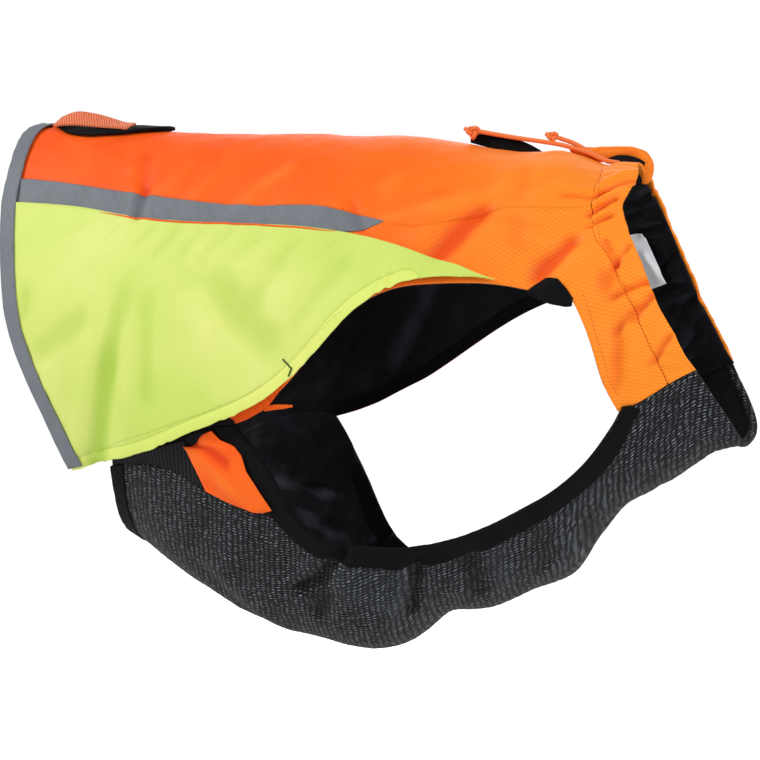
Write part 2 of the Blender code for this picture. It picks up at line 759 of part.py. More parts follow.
def build_belly_rear_binding():
    """Black binding round the rear edge of the belly part."""
    rows = BELLY[-1] + BELLY[1][-2::-1]
    edge, inner = [row[0] for row in rows], [row[1] for row in rows]
    binding("belly_rear_binding", edge, inner, [KNIT_WALL[1] + GAP] * len(edge), LINING[0] - GAP,
            "binding", [k >= BELLY_ROWS for k in range(len(edge))])


STRAP_ROWS = 4


def strap_rows(side):
    """Rows from just under the side panel's edge down to the knit, over the whole strap."""
    column = column_of(side)
    tops = []
    for k in range(len(STRAP_STATIONS)):
        x = mix(-218, -112, k / (len(STRAP_STATIONS) - 1))
        tops.append((x, girth_of(x, smooth(ARMHOLE_TOP, x, column) - 0.6)))
    tops[-1] = (-112, girth_of(-112, smooth(BELLY_TOP, -112, column)))
    rows = []
    for j in range(STRAP_ROWS + 1):
        v = j / STRAP_ROWS
        row = []
        for (x, g), station in zip(tops, STRAP_STATIONS):
            low_x, low_g = strap_point(station, side)
            row.append((mix(x, low_x, v), side * mix(g, abs(low_g) - 0.2, v)))
        front = mix(-112, STRAP_STATIONS[-1], v)
        row[-1] = (front, side * girth_of(front, smooth(BELLY_TOP, front, column)))
        rows.append(row)
    return rows


def strap_insert_rows(side):
    return [row[STRAP_ELASTIC_END:] for row in strap_rows(side)]


def build_strap():
    """Ribbed elastic and orange insert that join the belly part to the back."""
    for side in (-1, 1):
        elastic = [row[:STRAP_ELASTIC_END + 1] for row in strap_rows(side)]
        wall("strap_elastic_" + side_name(side), [elastic], SHELL, "elastic")
        wall("strap_insert_" + side_name(side), [strap_insert_rows(side)], SHELL, "shell")


# ---------------------------------------------------------------- small pieces
def build_corners():
    """Rolled black elastic that shows under the arch of the armhole's front corner."""
    low = ((99.5, -108), (107.5, -112.5), (117, -115.5), (126.5, -116))
    for side in (-1, 1):
        top = ROWS[side][-1][CORNER_START:CORNER_END + 1]
        rows = []
        for j in range(4):
            v = j / 3
            row = []
            for (x0, g0), (x1, z1) in zip(top, low):
                row.append((mix(x0, x1, v), side * mix(abs(g0) + 0.4, girth_of(x1, z1), v)))
            rows.append(row)
        wall("corner_elastic_" + side_name(side), [rows], (LINING[0], -0.6), "binding",
             swell=lambda x, g: 1.4 * math.sin(math.pi * (x - 97) / 31))


# puffed band behind the nape: x, y, middle height, width, height of its own lining's top
NECK_BAND = (
    (109, 8, -8.6, 4.5), (118, 11, -9.7, 7.0), (128, 14, -9.8, 8.0), (138, 17, -10.2, 6.5),
    (147, 20, -12.4, 7.0), (153.5, 23, -17.6, 8.5), (154.5, 26, -24.0, 6.5),
)
STRIP_TOP = ((29, 1.2), (40, 0.4), (52, -1.8), (65, -4.2), (83, -8.0))  # x, height
STRIP_Y = 4.5


def surface_z(x, y):
    """Height of the upper body surface over a point."""
    middle, half_height, half_width = section(x)
    return middle + half_height * math.cos(math.asin(y / half_width))


def build_neck_band():
    """Puffed band of the casing that stands up behind the nape, over its black inner side."""
    control = [(i, *row) for i, row in enumerate(NECK_BAND)]
    count = 2 * len(NECK_BAND) - 1
    points, widths, low_points, low_widths = [], [], [], []
    for i in range(count):
        x, y, z, width = [smooth(control, i / 2, k) for k in (1, 2, 3, 4)]
        points.append(Vector((x, y, z)))
        widths.append(width)
        inner_y = y - 2.2
        top, bottom = z - width / 2, surface_z(min(x, 151), inner_y) + NAPE_CLEAR
        if i < count - 3:
            low_points.append(Vector((x, inner_y, (top + bottom) / 2)))
            low_widths.append(max(1.2, top - bottom))
    upright, forward = Vector((0, 0, 1)), Vector((1, 0, 0.2))
    across = [upright.lerp(forward, max(0.0, min(1.0, (i - 8) / 4))) for i in range(count)]
    ribbon("neck_band", points, across, widths, 2.4, "shell")
    ribbon("nape_lining", low_points, [upright] * len(low_points), low_widths, 1.2, "lining")


def build_neck_strip():
    """Black strip in the dip of the back line, under the cord."""
    points, widths = [], []
    for i in range(10):
        x = mix(STRIP_TOP[0][0], STRIP_TOP[-1][0], i / 9)
        top, bottom = smooth(STRIP_TOP, x), surface_z(x, STRIP_Y) + 0.6
        points.append(Vector((x, STRIP_Y, (top + bottom) / 2)))
        widths.append(max(1.2, top - bottom))
    ribbon("neck_strip", points, [Vector((0, 0, 1))] * len(points), widths, 1.6, "binding")


WEBBING_GIRTH = -8.5
WEBBING_WIDTH = 15.0


def build_webbing():
    """Webbing loop on the rear of the back, and the patch that it is sewn to."""
    outline = ((-297, 8), (-286, 20), (-262, 25), (-230, 21), (-204, 6))  # x, reach from the middle
    rows = []
    for k in range(-3, 4):
        row = []
        for i in range(8):
            x = mix(outline[0][0], outline[-1][0], i / 7)
            reach = smooth(outline, x)
            row.append((x, k / 3 * math.degrees(math.asin(reach / smooth(HALF_WIDTH, x)))))
        rows.append(row)
    wall("loop_patch", [rows], PATCH, "binding")
    route = ((-293, 0.8, 8), (-287, 2.4, 16), (-278, 4.0, 25), (-265, 3.4, 22), (-250, 1.6, 10),
             (-240, 0.3, 0), (-231, 0.0, 0))  # x; rise off the patch; tilt in degrees
    points, across = [], []
    for i in range(15):
        x = mix(route[0][0], route[-1][0], i / 14)
        address, tilt = (x, WEBBING_GIRTH), math.radians(smooth(route, x, 2))
        points.append(place(address, PATCH[1] + 1.1 + smooth(route, x)))
        around = (body_point(x, WEBBING_GIRTH + 1) - body_point(x, WEBBING_GIRTH - 1)).normalized()
        across.append(around * math.cos(tilt) + body_normal(*address) * math.sin(tilt))
    ribbon("webbing_loop", points, across, [WEBBING_WIDTH] * len(points), 1.6, "webbing")


def build_label():
    """Blank care label inside the far side of the neck."""
    upper, lower = ((129, -66), (141, -64)), ((143, -107), (158, -102))
    rows = [[(x, girth_of(x, z)) for x, z in ends] for ends in (upper, lower)]
    wall("label", [rows], LABEL, "label")


def build_hem_tab():
    """Pointed end of the turned orange hem, which shows past the near flap."""
    sections = []
    for x, z, reach in ((-88, -189.4, 1.3), (-81, -187.6, 1.7), (-74, -187.2, 1.4), (-67, -186.6, 0.6)):
        address = (x, -girth_of(x, z))
        spread = math.degrees(reach / 180)
        sections.append([place((x, address[1] + spread), low) for low in (-3.8, -2.7)]
                        + [place((x, address[1] - spread), low) for low in (-2.7, -3.8)])
    loft("hem_tab", sections, "shell")


def build_cord(name, points, count):
    """Round cord along a smooth route."""
    curve = bpy.data.curves.new(name, "CURVE")
    curve.dimensions = "3D"
    curve.bevel_depth = CORD / 2 * MM
    curve.bevel_resolution = 2
    curve.use_fill_caps = True
    spline = curve.splines.new("POLY")
    route = curve_points(points, count)
    spline.points.add(len(route) - 1)
    for knot, point in zip(spline.points, route):
        knot.co = (*(point * MM), 1.0)
    curve.materials.append(COLOUR["cord"])
    piece = bpy.data.objects.new(name, curve)
    bpy.context.scene.collection.objects.link(piece)


def build_knot(name, centre, size):
    """Overhand knot as one lumpy ball."""
    shape = bmesh.new()
    bmesh.ops.create_icosphere(shape, subdivisions=2, radius=1.0)
    for vert in shape.verts:
        p = vert.co
        bump = 1 + 0.12 * math.sin(5 * math.atan2(p.y, p.x) + 3 * p.z)
        vert.co = Vector(centre) + Vector([bump * a * b for a, b in zip(p, size)])
    make_object(name, shape, "cord")


def build_drawcord():
    """Two free ends of the neck's elastic cord, each with its knot."""
    long_route = [(138, 0, -19.6), (132, 0, -18.6), (127, 0, -17.2), (116, 0, -12.4), (105, 0, -8.8),
                  (96, 0, -6.4), (84, 0, -4.2), (66, 0, -1.4), (50, 0, 1.4), (37.6, 0, 3.8)]
    build_cord("drawcord_long", long_route, 18)
    build_knot("knot_long", (31.6, 0, 4.2), (5.4, 4.2, 4.6))
    short_route = [(130, 3.9, -18.9), (122, 4.2, -14.8), (112, 4.2, -9.4), (104, 4.2, -5.2), (94, 4.2, -1.6)]
    build_cord("drawcord_short", short_route, 9)
    build_knot("knot_short", (89.4, 4.2, 0.3), (4.4, 3.6, 4.2))


def build_all():
    build_back()
    build_sides()
    build_lining()
    build_facings()
    build_casings()
    build_flaps()
    build_tapes()
    build_rear_binding()
    build_belly()
    build_belly_bindings()
    build_belly_rear_binding()
    build_strap()
    build_corners()
    build_neck_band()
    build_neck_strip()
    build_webbing()
    build_label()
    build_hem_tab()
    build_drawcord()


build_all()
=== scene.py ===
# %% [markdown]
# # A dog's protective vest
# The vest is a sewn shell of orange ripstop with a loose yellow flap on each side, grey
# reflective tape, a grey knit belly part, a black lining and a gathered neck with an elastic
# cord. It stands filled out, as if a dog wore it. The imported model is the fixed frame, and
# this lesson gives every cloth its creases, weave and stitches on that frame.

# %% Load the frame
import math
import random

import bmesh
import bpy
import numpy as np
from mathutils import Matrix, Vector
from mathutils.bvhtree import BVHTree
from mathutils.kdtree import KDTree


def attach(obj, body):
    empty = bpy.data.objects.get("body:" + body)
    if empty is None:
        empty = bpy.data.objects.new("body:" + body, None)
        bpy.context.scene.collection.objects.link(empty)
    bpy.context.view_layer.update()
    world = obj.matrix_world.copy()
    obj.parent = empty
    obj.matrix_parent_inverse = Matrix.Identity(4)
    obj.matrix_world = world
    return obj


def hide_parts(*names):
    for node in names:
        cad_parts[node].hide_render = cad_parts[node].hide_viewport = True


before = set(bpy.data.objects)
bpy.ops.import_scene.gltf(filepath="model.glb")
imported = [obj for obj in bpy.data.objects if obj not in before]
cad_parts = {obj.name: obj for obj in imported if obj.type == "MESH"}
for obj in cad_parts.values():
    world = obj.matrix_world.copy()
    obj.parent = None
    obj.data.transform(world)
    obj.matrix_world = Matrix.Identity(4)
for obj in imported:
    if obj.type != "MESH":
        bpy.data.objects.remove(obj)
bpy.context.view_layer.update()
MM = 0.001
PER_METRE = 1000

# %% [markdown]
# The photograph looks at the near side from a little in front and a little above, with a long
# lens. The camera is a plain object that is turned to its target with a tracking quaternion.

# %% Camera
camera = bpy.data.objects.new("photo_camera", bpy.data.cameras.new("photo_camera"))
bpy.context.scene.collection.objects.link(camera)
camera.data.lens = 110
camera.data.sensor_width = 36
camera.data.clip_end = 50
camera.location = (0.5595, -1.5579, -0.0852)
aim = Vector((-0.0385, 0, -0.1727)) - camera.location
camera.rotation_euler = aim.to_track_quat("-Z", "Y").to_euler()
bpy.context.scene.camera = camera
print("camera aims", [round(v, 3) for v in aim.normalized()])

# %% [markdown]
# The light is plain and soft: a strong lamp over the near side's rear, and two weaker, wider ones
# that keep the front and the far side readable. A studio keeps its backdrop white with lamps of
# its own. Here the room shows white behind the vest and lights it with less than half of that,
# so that the folds keep their shade. The floor lies well under the vest, because the wearer's
# back holds it up.

# %% World and floor
ROOM_LIGHT, BACKDROP = 0.44, 1.0
FLOOR_HEIGHT, FLOOR_GLOW = -0.62, 0.65
scene = bpy.context.scene
scene.view_settings.view_transform = "Standard"
scene.world = bpy.data.worlds.new("white_room")
scene.world.use_nodes = True
room = scene.world.node_tree
glow, backdrop = room.nodes["Background"], room.nodes.new("ShaderNodeBackground")
for shade, strength in ((glow, ROOM_LIGHT), (backdrop, BACKDROP)):
    shade.inputs["Color"].default_value = (1, 1, 1, 1)
    shade.inputs["Strength"].default_value = strength
seen = room.nodes.new("ShaderNodeLightPath")
chosen = room.nodes.new("ShaderNodeMixShader")
room.links.new(seen.outputs["Is Camera Ray"], chosen.inputs[0])
room.links.new(glow.outputs[0], chosen.inputs[1])
room.links.new(backdrop.outputs[0], chosen.inputs[2])
room.links.new(chosen.outputs[0], room.nodes["World Output"].inputs["Surface"])

floor_shape = bmesh.new()
bmesh.ops.create_grid(floor_shape, x_segments=1, y_segments=1, size=40)
bmesh.ops.translate(floor_shape, vec=(0, 0, FLOOR_HEIGHT), verts=floor_shape.verts)
floor = bpy.data.objects.new("floor", bpy.data.meshes.new("floor"))
floor_shape.to_mesh(floor.data)
floor_shape.free()
scene.collection.objects.link(floor)
pale = bpy.data.materials.new("pale floor")
pale.use_nodes = True
floor_shader = pale.node_tree.nodes["Principled BSDF"]
floor_shader.inputs["Base Color"].default_value = (0.9, 0.9, 0.9, 1)
floor_shader.inputs["Roughness"].default_value = 0.9
floor_shader.inputs["Emission Color"].default_value = (1, 1, 1, 1)
floor_seen = pale.node_tree.nodes.new("ShaderNodeLightPath")
lift = pale.node_tree.nodes.new("ShaderNodeMath")
lift.operation = "MULTIPLY"
lift.inputs[1].default_value = FLOOR_GLOW
pale.node_tree.links.new(floor_seen.outputs["Is Camera Ray"], lift.inputs[0])
pale.node_tree.links.new(lift.outputs[0], floor_shader.inputs["Emission Strength"])
floor.data.materials.append(pale)
print("room light", glow.inputs["Strength"].default_value)


# %% Lamps
def soft_lamp(name, place, power, size):
    """Square area lamp that looks at the middle of the vest."""
    lamp = bpy.data.objects.new(name, bpy.data.lights.new(name, "AREA"))
    lamp.data.energy = power
    lamp.data.size = size
    lamp.location = place
    to_vest = Vector((-0.04, 0, -0.17)) - lamp.location
    lamp.rotation_euler = to_vest.to_track_quat("-Z", "Y").to_euler()
    scene.collection.objects.link(lamp)


soft_lamp("key_lamp", (-1.75, -1.2, 1.15), 33, 0.6)
soft_lamp("front_lamp", (1.6, -0.9, 0.5), 18, 0.8)
soft_lamp("back_lamp", (-0.4, 1.6, 0.9), 14, 1.2)

# %% [markdown]
# Every cloth here gets a procedural material. A small helper adds a shader node, sets its
# inputs and links those that are given as sockets, so that each recipe below reads as a list.
# The weave follows the cloth through a UV map named weave, which every piece carries: u runs
# along the vest and v round it, both in metres.


# %% Material helpers
def linear(code):
    """Linear colour of a hex code."""
    values = [int(code[i:i + 2], 16) / 255 for i in (0, 2, 4)]
    return [v / 12.92 if v <= 0.04045 else ((v + 0.055) / 1.055) ** 2.4 for v in values] + [1]


def add(tree, kind, inputs=None, **settings):
    """New shader node; an input is a value, or a socket that is linked to it."""
    node = tree.nodes.new("ShaderNode" + kind)
    for key, value in settings.items():
        setattr(node, key, value)
    for key, value in (inputs or {}).items():
        if isinstance(value, bpy.types.NodeSocket):
            tree.links.new(value, node.inputs[key])
        else:
            node.inputs[key].default_value = value
    return node


def new_cloth(name, roughness, sheen, specular):
    """Material with its shader and node tree, and the weave's coordinates in millimetres."""
    material = bpy.data.materials.new(name)
    material.use_nodes = True
    tree = material.node_tree
    shader = tree.nodes["Principled BSDF"]
    shader.inputs["Roughness"].default_value = roughness
    shader.inputs["Sheen Weight"].default_value = sheen
    shader.inputs["Sheen Roughness"].default_value = 0.5
    shader.inputs["Specular IOR Level"].default_value = specular
    weave = add(tree, "UVMap", uv_map="weave")
    threads = add(tree, "Mapping", {"Vector": weave.outputs[0], "Scale": (PER_METRE,) * 3})
    return material, tree, shader, threads.outputs[0]


def wave(tree, vector, along, across, sharp=0.0):
    """Bands that repeat each along mm in u and across mm in v, from 0 to 1, sharpened."""
    turn = (2 * math.pi / along if along else 0, 2 * math.pi / across if across else 0, 0)
    phase = add(tree, "VectorMath", {0: vector, 1: turn}, operation="DOT_PRODUCT")
    sine = add(tree, "Math", {0: phase.outputs["Value"]}, operation="SINE")
    band = add(tree, "MapRange", {"Value": sine.outputs[0], "From Min": 2 * sharp - 1, "From Max": 1.0})
    return band.outputs[0]


def join(tree, operation, a, b):
    return add(tree, "Math", {0: a, 1: b}, operation=operation).outputs[0]


def cloud(tree, vector, scale, detail=3.0, low=0.35, high=0.65):
    """Soft noise stretched to run from 0 to 1."""
    noise = add(tree, "TexNoise", {"Vector": vector, "Scale": scale, "Detail": detail})
    return add(tree, "MapRange", {"Value": noise.outputs["Fac"], "From Min": low, "From Max": high}).outputs[0]


def tint(tree, factor, first, second):
    """Mixed colour of two hex codes, colours or sockets."""
    first, second = (linear(colour) if isinstance(colour, str) else colour for colour in (first, second))
    return add(tree, "Mix", {0: factor, 6: first, 7: second}, data_type="RGBA").outputs[2]


def coloured(tree, shader, base):
    tree.links.new(base, shader.inputs["Base Color"])


def in_millimetres(tree, rotation=(0, 0, 0)):
    """Object coordinates in millimetres, for yarns that follow the piece and not its weave."""
    place = add(tree, "TexCoord").outputs["Object"]
    return add(tree, "Mapping", {"Vector": place, "Rotation": rotation,
                                 "Scale": (PER_METRE,) * 3}).outputs[0]


def relief(tree, shader, height, strength, distance, under=None):
    """Bump of a height on the shader's normal, over an earlier bump if one is given."""
    settings = {"Height": height, "Strength": strength, "Distance": distance}
    if under:
        settings["Normal"] = under.outputs[0]
    bump = add(tree, "Bump", settings)
    tree.links.new(bump.outputs[0], shader.inputs["Normal"])
    return bump


def crumpled(tree, shader, place, scale, detail, strength, distance):
    """Bump of soft crumples."""
    return relief(tree, shader, cloud(tree, place, scale, detail, 0.3, 0.7), strength, distance)


def folded(tree, base, low, high, deep, light):
    """Cloth colour with painted shade in the bottom of a fold and a painted highlight on its ridge."""
    fold = add(tree, "Attribute", attribute_name="fold").outputs["Fac"]
    painted_trough_shade = add(tree, "MapRange", {"Value": fold, "From Min": -0.2, "From Max": -3.2}).outputs[0]
    painted_ridge_highlight = add(tree, "MapRange", {"Value": fold, "From Min": 0.3, "From Max": 2.4}).outputs[0]
    base = tint(tree, join(tree, "MULTIPLY", painted_trough_shade, deep), base, low)
    return tint(tree, join(tree, "MULTIPLY", painted_ridge_highlight, light), base, high)


# %% [markdown]
# The orange cloth is a coated ripstop: a thin plain weave with thicker threads that cross in
# flat diamonds. A printed picture could carry the grid, but two families of thin bands on the
# weave's own coordinates stay sharp at any distance. A ramp along X turns the colour from red
# orange at the rear to a lighter yellow orange on the breast, which is painted light: the breast
# stands in brighter light. A fold's bottom gets a painted shade of deeper orange and its ridge a
# painted highlight; each point of a piece carries its height in the folds as an attribute for that.


# %% Orange ripstop
def orange_ripstop():
    material, tree, shader, threads = new_cloth("orange ripstop", 0.55, 0.0, 0.18)
    place = add(tree, "TexCoord").outputs["Object"]
    along = add(tree, "SeparateXYZ", {"Vector": place}).outputs["X"]
    share = add(tree, "MapRange", {"Value": along, "From Min": -0.3, "From Max": 0.19}).outputs[0]
    # Painted light: the colour turns lighter and yellower towards the breast, which stands in brighter light.
    breast_light_ramp = add(tree, "ValToRGB", {"Fac": share})
    breast_light_stops = ((0.0, "f95714"), (0.35, "fb5c10"), (0.62, "fc7018"), (0.8, "fd8a22"), (1.0, "fe9424"))
    while len(breast_light_ramp.color_ramp.elements) < len(breast_light_stops):
        breast_light_ramp.color_ramp.elements.new(0.5)
    for element, (position, code) in zip(breast_light_ramp.color_ramp.elements, breast_light_stops):
        element.position = position
        element.color = linear(code)
    rising = wave(tree, threads, 5.0, 3.3, 0.78)
    falling = wave(tree, threads, 5.0, -3.3, 0.78)
    grid = join(tree, "MAXIMUM", rising, falling)
    depth = add(tree, "MapRange", {"Value": share, "To Min": 0.2, "To Max": 0.4}).outputs[0]
    lines = join(tree, "MULTIPLY", grid, depth)
    base = tint(tree, lines, breast_light_ramp.outputs["Color"], "dc4a0a")
    mottle = join(tree, "MULTIPLY", cloud(tree, place, 26, 4), 0.10)
    base = tint(tree, mottle, base, "ffa030")
    # Painted shade in the bottoms of folds and a painted highlight on their ridges.
    base = folded(tree, base, "e03a06", "ffa53c", 0.75, 0.2)
    coloured(tree, shader, base)
    crumple = crumpled(tree, shader, place, 34, 2, 0.5, 0.0022)
    fine = join(tree, "ADD", wave(tree, threads, 0.62, 0), wave(tree, threads, 0, 0.62))
    weave = relief(tree, shader, fine, 0.12, 0.0001, crumple)
    relief(tree, shader, grid, 0.35, 0.00018, weave)
    return material


RIPSTOP = orange_ripstop()
print("made", RIPSTOP.name)

# %% [markdown]
# The yellow flap is the same kind of coated cloth in a lighter dye, without the diamond grid.
# Light comes through it a little, so greener and warmer patches lie side by side. The hem is
# two layers of it, which look brighter, with a darker line along its stitching. Each point of a
# flap carries its distance from the hem in millimetres as an attribute.


# %% Yellow flap cloth
HEM_DEPTH = 8.5  # millimetres of cloth turned in at the hem


def yellow_cloth():
    material, tree, shader, threads = new_cloth("yellow coated cloth", 0.55, 0.0, 0.18)
    place = add(tree, "TexCoord").outputs["Object"]
    patches = cloud(tree, place, 9, 2, 0.38, 0.62)
    base = tint(tree, patches, "c8dc6a", "dae37e")
    fine = join(tree, "MULTIPLY", wave(tree, threads, 0.55, 0), wave(tree, threads, 0, 0.55))
    base = tint(tree, join(tree, "MULTIPLY", fine, 0.12), base, "b9cf4c")
    inward = add(tree, "Attribute", attribute_name="hem_distance").outputs["Fac"]
    turned = add(tree, "MapRange", {"Value": inward, "From Min": HEM_DEPTH, "From Max": HEM_DEPTH - 1.2})
    base = tint(tree, join(tree, "MULTIPLY", turned.outputs[0], 0.45), base, "e6ee78")
    beside = join(tree, "ABSOLUTE", join(tree, "SUBTRACT", inward, HEM_DEPTH + 0.2), 0)
    stitch_line_darkening = add(tree, "MapRange", {"Value": beside, "From Min": 0.9, "From Max": 0.2})
    base = tint(tree, join(tree, "MULTIPLY", stitch_line_darkening.outputs[0], 0.35), base, "a8ba3e")
    # Painted shade in the bottoms of folds and a painted highlight on their ridges.
    base = folded(tree, base, "a3c443", "e4ea84", 0.8, 0.3)
    coloured(tree, shader, base)
    crumple = crumpled(tree, shader, place, 28, 3, 0.35, 0.0016)
    relief(tree, shader, fine, 0.15, 0.0001, crumple)
    return material


YELLOW = yellow_cloth()
print("made", YELLOW.name)

# %% [markdown]
# Reflective tape is a cloth band covered in tiny glass beads. Small Voronoi cells give the
# beads. The tape shines only back to where light comes from, so in a soft room it is a dull
# grey, and its roughness stays high.


# %% Reflective tape
def grey_tape():
    material, tree, shader, threads = new_cloth("grey reflective tape", 0.62, 0.0, 0.3)
    beads = add(tree, "TexVoronoi", {"Vector": threads, "Scale": 1.5, "Randomness": 0.7})
    place = add(tree, "TexCoord").outputs["Object"]
    base = tint(tree, beads.outputs["Distance"], "7b8086", "5e6369")
    base = tint(tree, join(tree, "MULTIPLY", cloud(tree, place, 40, 4), 0.2), base, "878b92")
    # Painted shade in the bottoms of folds and a painted highlight on their ridges.
    base = folded(tree, base, "4b4f55", "8d9298", 0.6, 0.3)
    coloured(tree, shader, base)
    crumple = crumpled(tree, shader, place, 40, 3, 0.3, 0.0009)
    relief(tree, shader, beads.outputs["Distance"], 0.3, 0.0001, crumple)
    return material


TAPE_CLOTH = grey_tape()
print("made", TAPE_CLOTH.name)

# %% [markdown]
# The lining, the bindings and the elastics are all black, and only their surface tells them
# apart. The lining is a thin twill whose soft shine is a painted highlight on the ridges of its
# folds, the binding a dull folded knit, and the elastic has plain ribs across its width.


# %% Black cloths
def black_lining():
    material, tree, shader, threads = new_cloth("black lining", 0.6, 0.0, 0.15)
    place = add(tree, "TexCoord").outputs["Object"]
    base = tint(tree, cloud(tree, place, 30, 3), "08080a", "131419")
    # Painted shade in the folds' bottoms and a strong painted highlight on their ridges, which gives the
    # lining its shine.
    base = folded(tree, base, "040405", "3a3d48", 0.8, 0.8)
    coloured(tree, shader, base)
    crumple = crumpled(tree, shader, place, 30, 3, 0.7, 0.004)
    relief(tree, shader, wave(tree, threads, 0.9, 0.9), 0.25, 0.00012, crumple)
    return material


def black_binding():
    material, tree, shader, threads = new_cloth("black binding", 0.78, 0.0, 0.12)
    place = add(tree, "TexCoord").outputs["Object"]
    twill = join(tree, "MULTIPLY", wave(tree, threads, 1.1, 1.1), wave(tree, threads, 1.1, -1.1))
    base = tint(tree, twill, "040406", "0e0e12")
    coloured(tree, shader, base)
    crumple = crumpled(tree, shader, place, 60, 3, 0.3, 0.001)
    relief(tree, shader, twill, 0.4, 0.0002, crumple)
    return material


def black_elastic():
    material, tree, shader, threads = new_cloth("black ribbed elastic", 0.74, 0.03, 0.22)
    ribs = wave(tree, threads, 3.1, 17.0)
    knots = wave(tree, threads, 0, 1.2)
    base = tint(tree, ribs, "020203", "1d1e22")
    coloured(tree, shader, base)
    deep = relief(tree, shader, ribs, 0.9, 0.0008)
    relief(tree, shader, knots, 0.3, 0.0002, deep)
    return material


LINING_CLOTH = black_lining()
BINDING_CLOTH = black_binding()
ELASTIC_CLOTH = black_elastic()
print("made", LINING_CLOTH.name, BINDING_CLOTH.name, ELASTIC_CLOTH.name)

# %% [markdown]
# The belly part is a thick knit of a charcoal yarn and a light grey one. The light yarn comes
# up as short dashes. They lie in rows 2.3 mm apart along the vest, and in columns 4 mm apart.
# Dot products count the rows and columns at a point, the fractions left over place it in its
# cell, and an ellipse there is the dash. The whole numbers of the cell pick a brightness,
# because the real dashes are uneven, and a soft noise bends the rows as worn knit does.


# %% Charcoal knit
KNIT_COLUMN, KNIT_ROW = (0.25, -0.04, 0), (0.0, 0.44, 0)  # counts of cells for a millimetre
KNIT_DULL = 0.15  # brightness of the dullest dash


def counted(tree, threads, direction):
    """Cell number and place within the cell along a direction."""
    count = add(tree, "VectorMath", {0: threads, 1: direction}, operation="DOT_PRODUCT").outputs["Value"]
    return join(tree, "FLOOR", count, 0), join(tree, "SUBTRACT", join(tree, "FRACT", count, 0), 0.5)


def squared(tree, first, first_share, second, second_share):
    total = join(tree, "ADD", join(tree, "MULTIPLY", first, first_share),
                 join(tree, "MULTIPLY", second, second_share))
    return join(tree, "POWER", join(tree, "ABSOLUTE", total, 0), 2)


def charcoal_knit():
    material, tree, shader, threads = new_cloth("charcoal knit", 0.9, 0.05, 0.2)
    drift = add(tree, "TexNoise", {"Vector": threads, "Scale": 0.09, "Detail": 2.0}).outputs["Color"]
    drift = add(tree, "VectorMath", {0: drift, 1: (5.0, 5.0, 0)}, operation="MULTIPLY").outputs[0]
    laid = add(tree, "VectorMath", {0: threads, 1: drift}, operation="ADD").outputs[0]
    column, across = counted(tree, laid, KNIT_COLUMN)
    row, up = counted(tree, laid, KNIT_ROW)
    reach = join(tree, "ADD", squared(tree, across, 2.7, up, 0.3), squared(tree, across, -1.1, up, 4.5))
    dash = add(tree, "MapRange", {"Value": reach, "From Min": 1.3, "From Max": 0.25}).outputs[0]
    cell = add(tree, "CombineXYZ", {"X": column, "Y": row})
    luck = add(tree, "TexWhiteNoise", {"Vector": cell.outputs[0]}, noise_dimensions="3D")
    luck = add(tree, "MapRange", {"Value": luck.outputs["Value"], "To Min": KNIT_DULL}).outputs[0]
    broken = cloud(tree, threads, 1.0, 2, 0.42, 0.58)
    broken = add(tree, "MapRange", {"Value": broken, "To Min": KNIT_DULL}).outputs[0]
    bright = join(tree, "MULTIPLY", join(tree, "MULTIPLY", dash, luck), broken)
    yarn = cloud(tree, threads, 1.3, 2, 0.35, 0.65)
    base = tint(tree, yarn, "050608", "1b1d21")
    base = tint(tree, bright, base, "a2a7ac")
    # Painted shade in the bottoms of folds and a painted highlight on their ridges.
    base = folded(tree, base, "060607", "5b6067", 0.6, 0.08)
    coloured(tree, shader, base)
    loops = relief(tree, shader, dash, 0.8, 0.0005)
    fine = add(tree, "TexNoise", {"Vector": threads, "Scale": 2.2, "Detail": 3.0})
    relief(tree, shader, fine.outputs["Fac"], 0.4, 0.0003, loops)
    return material


KNIT_CLOTH = charcoal_knit()
print("made", KNIT_CLOTH.name)


# %% [markdown]
# Webbing is woven in a herringbone, and the cord has a braided cover. Both are small, so two
# crossing waves are enough. The label is a plain satin ribbon.


# %% Webbing, cord and label
def orange_webbing():
    material, tree, shader, _ = new_cloth("orange webbing", 0.7, 0.05, 0.25)
    ply = in_millimetres(tree)
    twill = wave(tree, ply, 2.1, 3.4, 0.1)
    pick = wave(tree, ply, 1.1, -2.2, 0.2)
    base = tint(tree, twill, "d24a1c", "f98d5c")
    base = tint(tree, join(tree, "MULTIPLY", pick, 0.3), base, "fbb08a")
    coloured(tree, shader, base)
    relief(tree, shader, twill, 0.9, 0.0006)
    return material


def orange_cord():
    material, tree, shader, _ = new_cloth("orange cord", 0.6, 0.05, 0.3)
    ply = in_millimetres(tree, (math.radians(90), 0, 0))
    braid = join(tree, "MULTIPLY", wave(tree, ply, 1.5, 1.5, 0.2), wave(tree, ply, 1.5, -1.5, 0.2))
    base = tint(tree, braid, "f5803f", "d9541c")
    coloured(tree, shader, base)
    relief(tree, shader, braid, 0.6, 0.0003)
    return material


def white_label():
    material, tree, shader, threads = new_cloth("white label ribbon", 0.45, 0.2, 0.5)
    satin = wave(tree, threads, 0.5, 0)
    base = tint(tree, join(tree, "MULTIPLY", satin, 0.4), "f9fafd", "dddfe6")
    coloured(tree, shader, base)
    relief(tree, shader, satin, 0.2, 0.0001)
    return material


WEBBING_CLOTH = orange_webbing()
CORD_COVER = orange_cord()
LABEL_RIBBON = white_label()
print("made", WEBBING_CLOTH.name, CORD_COVER.name, LABEL_RIBBON.name)
CLOTH_OF = {"shell": RIPSTOP, "flap": YELLOW, "tape": TAPE_CLOTH, "lining": LINING_CLOTH,
            "binding": BINDING_CLOTH, "elastic": ELASTIC_CLOTH, "knit": KNIT_CLOTH,
            "webbing": WEBBING_CLOTH, "label": LABEL_RIBBON}

# %% [markdown]
# All pieces are put into the scene in the same way. The vest has no joints, so each of them
# rides on its one body, and its slot names the record's material.


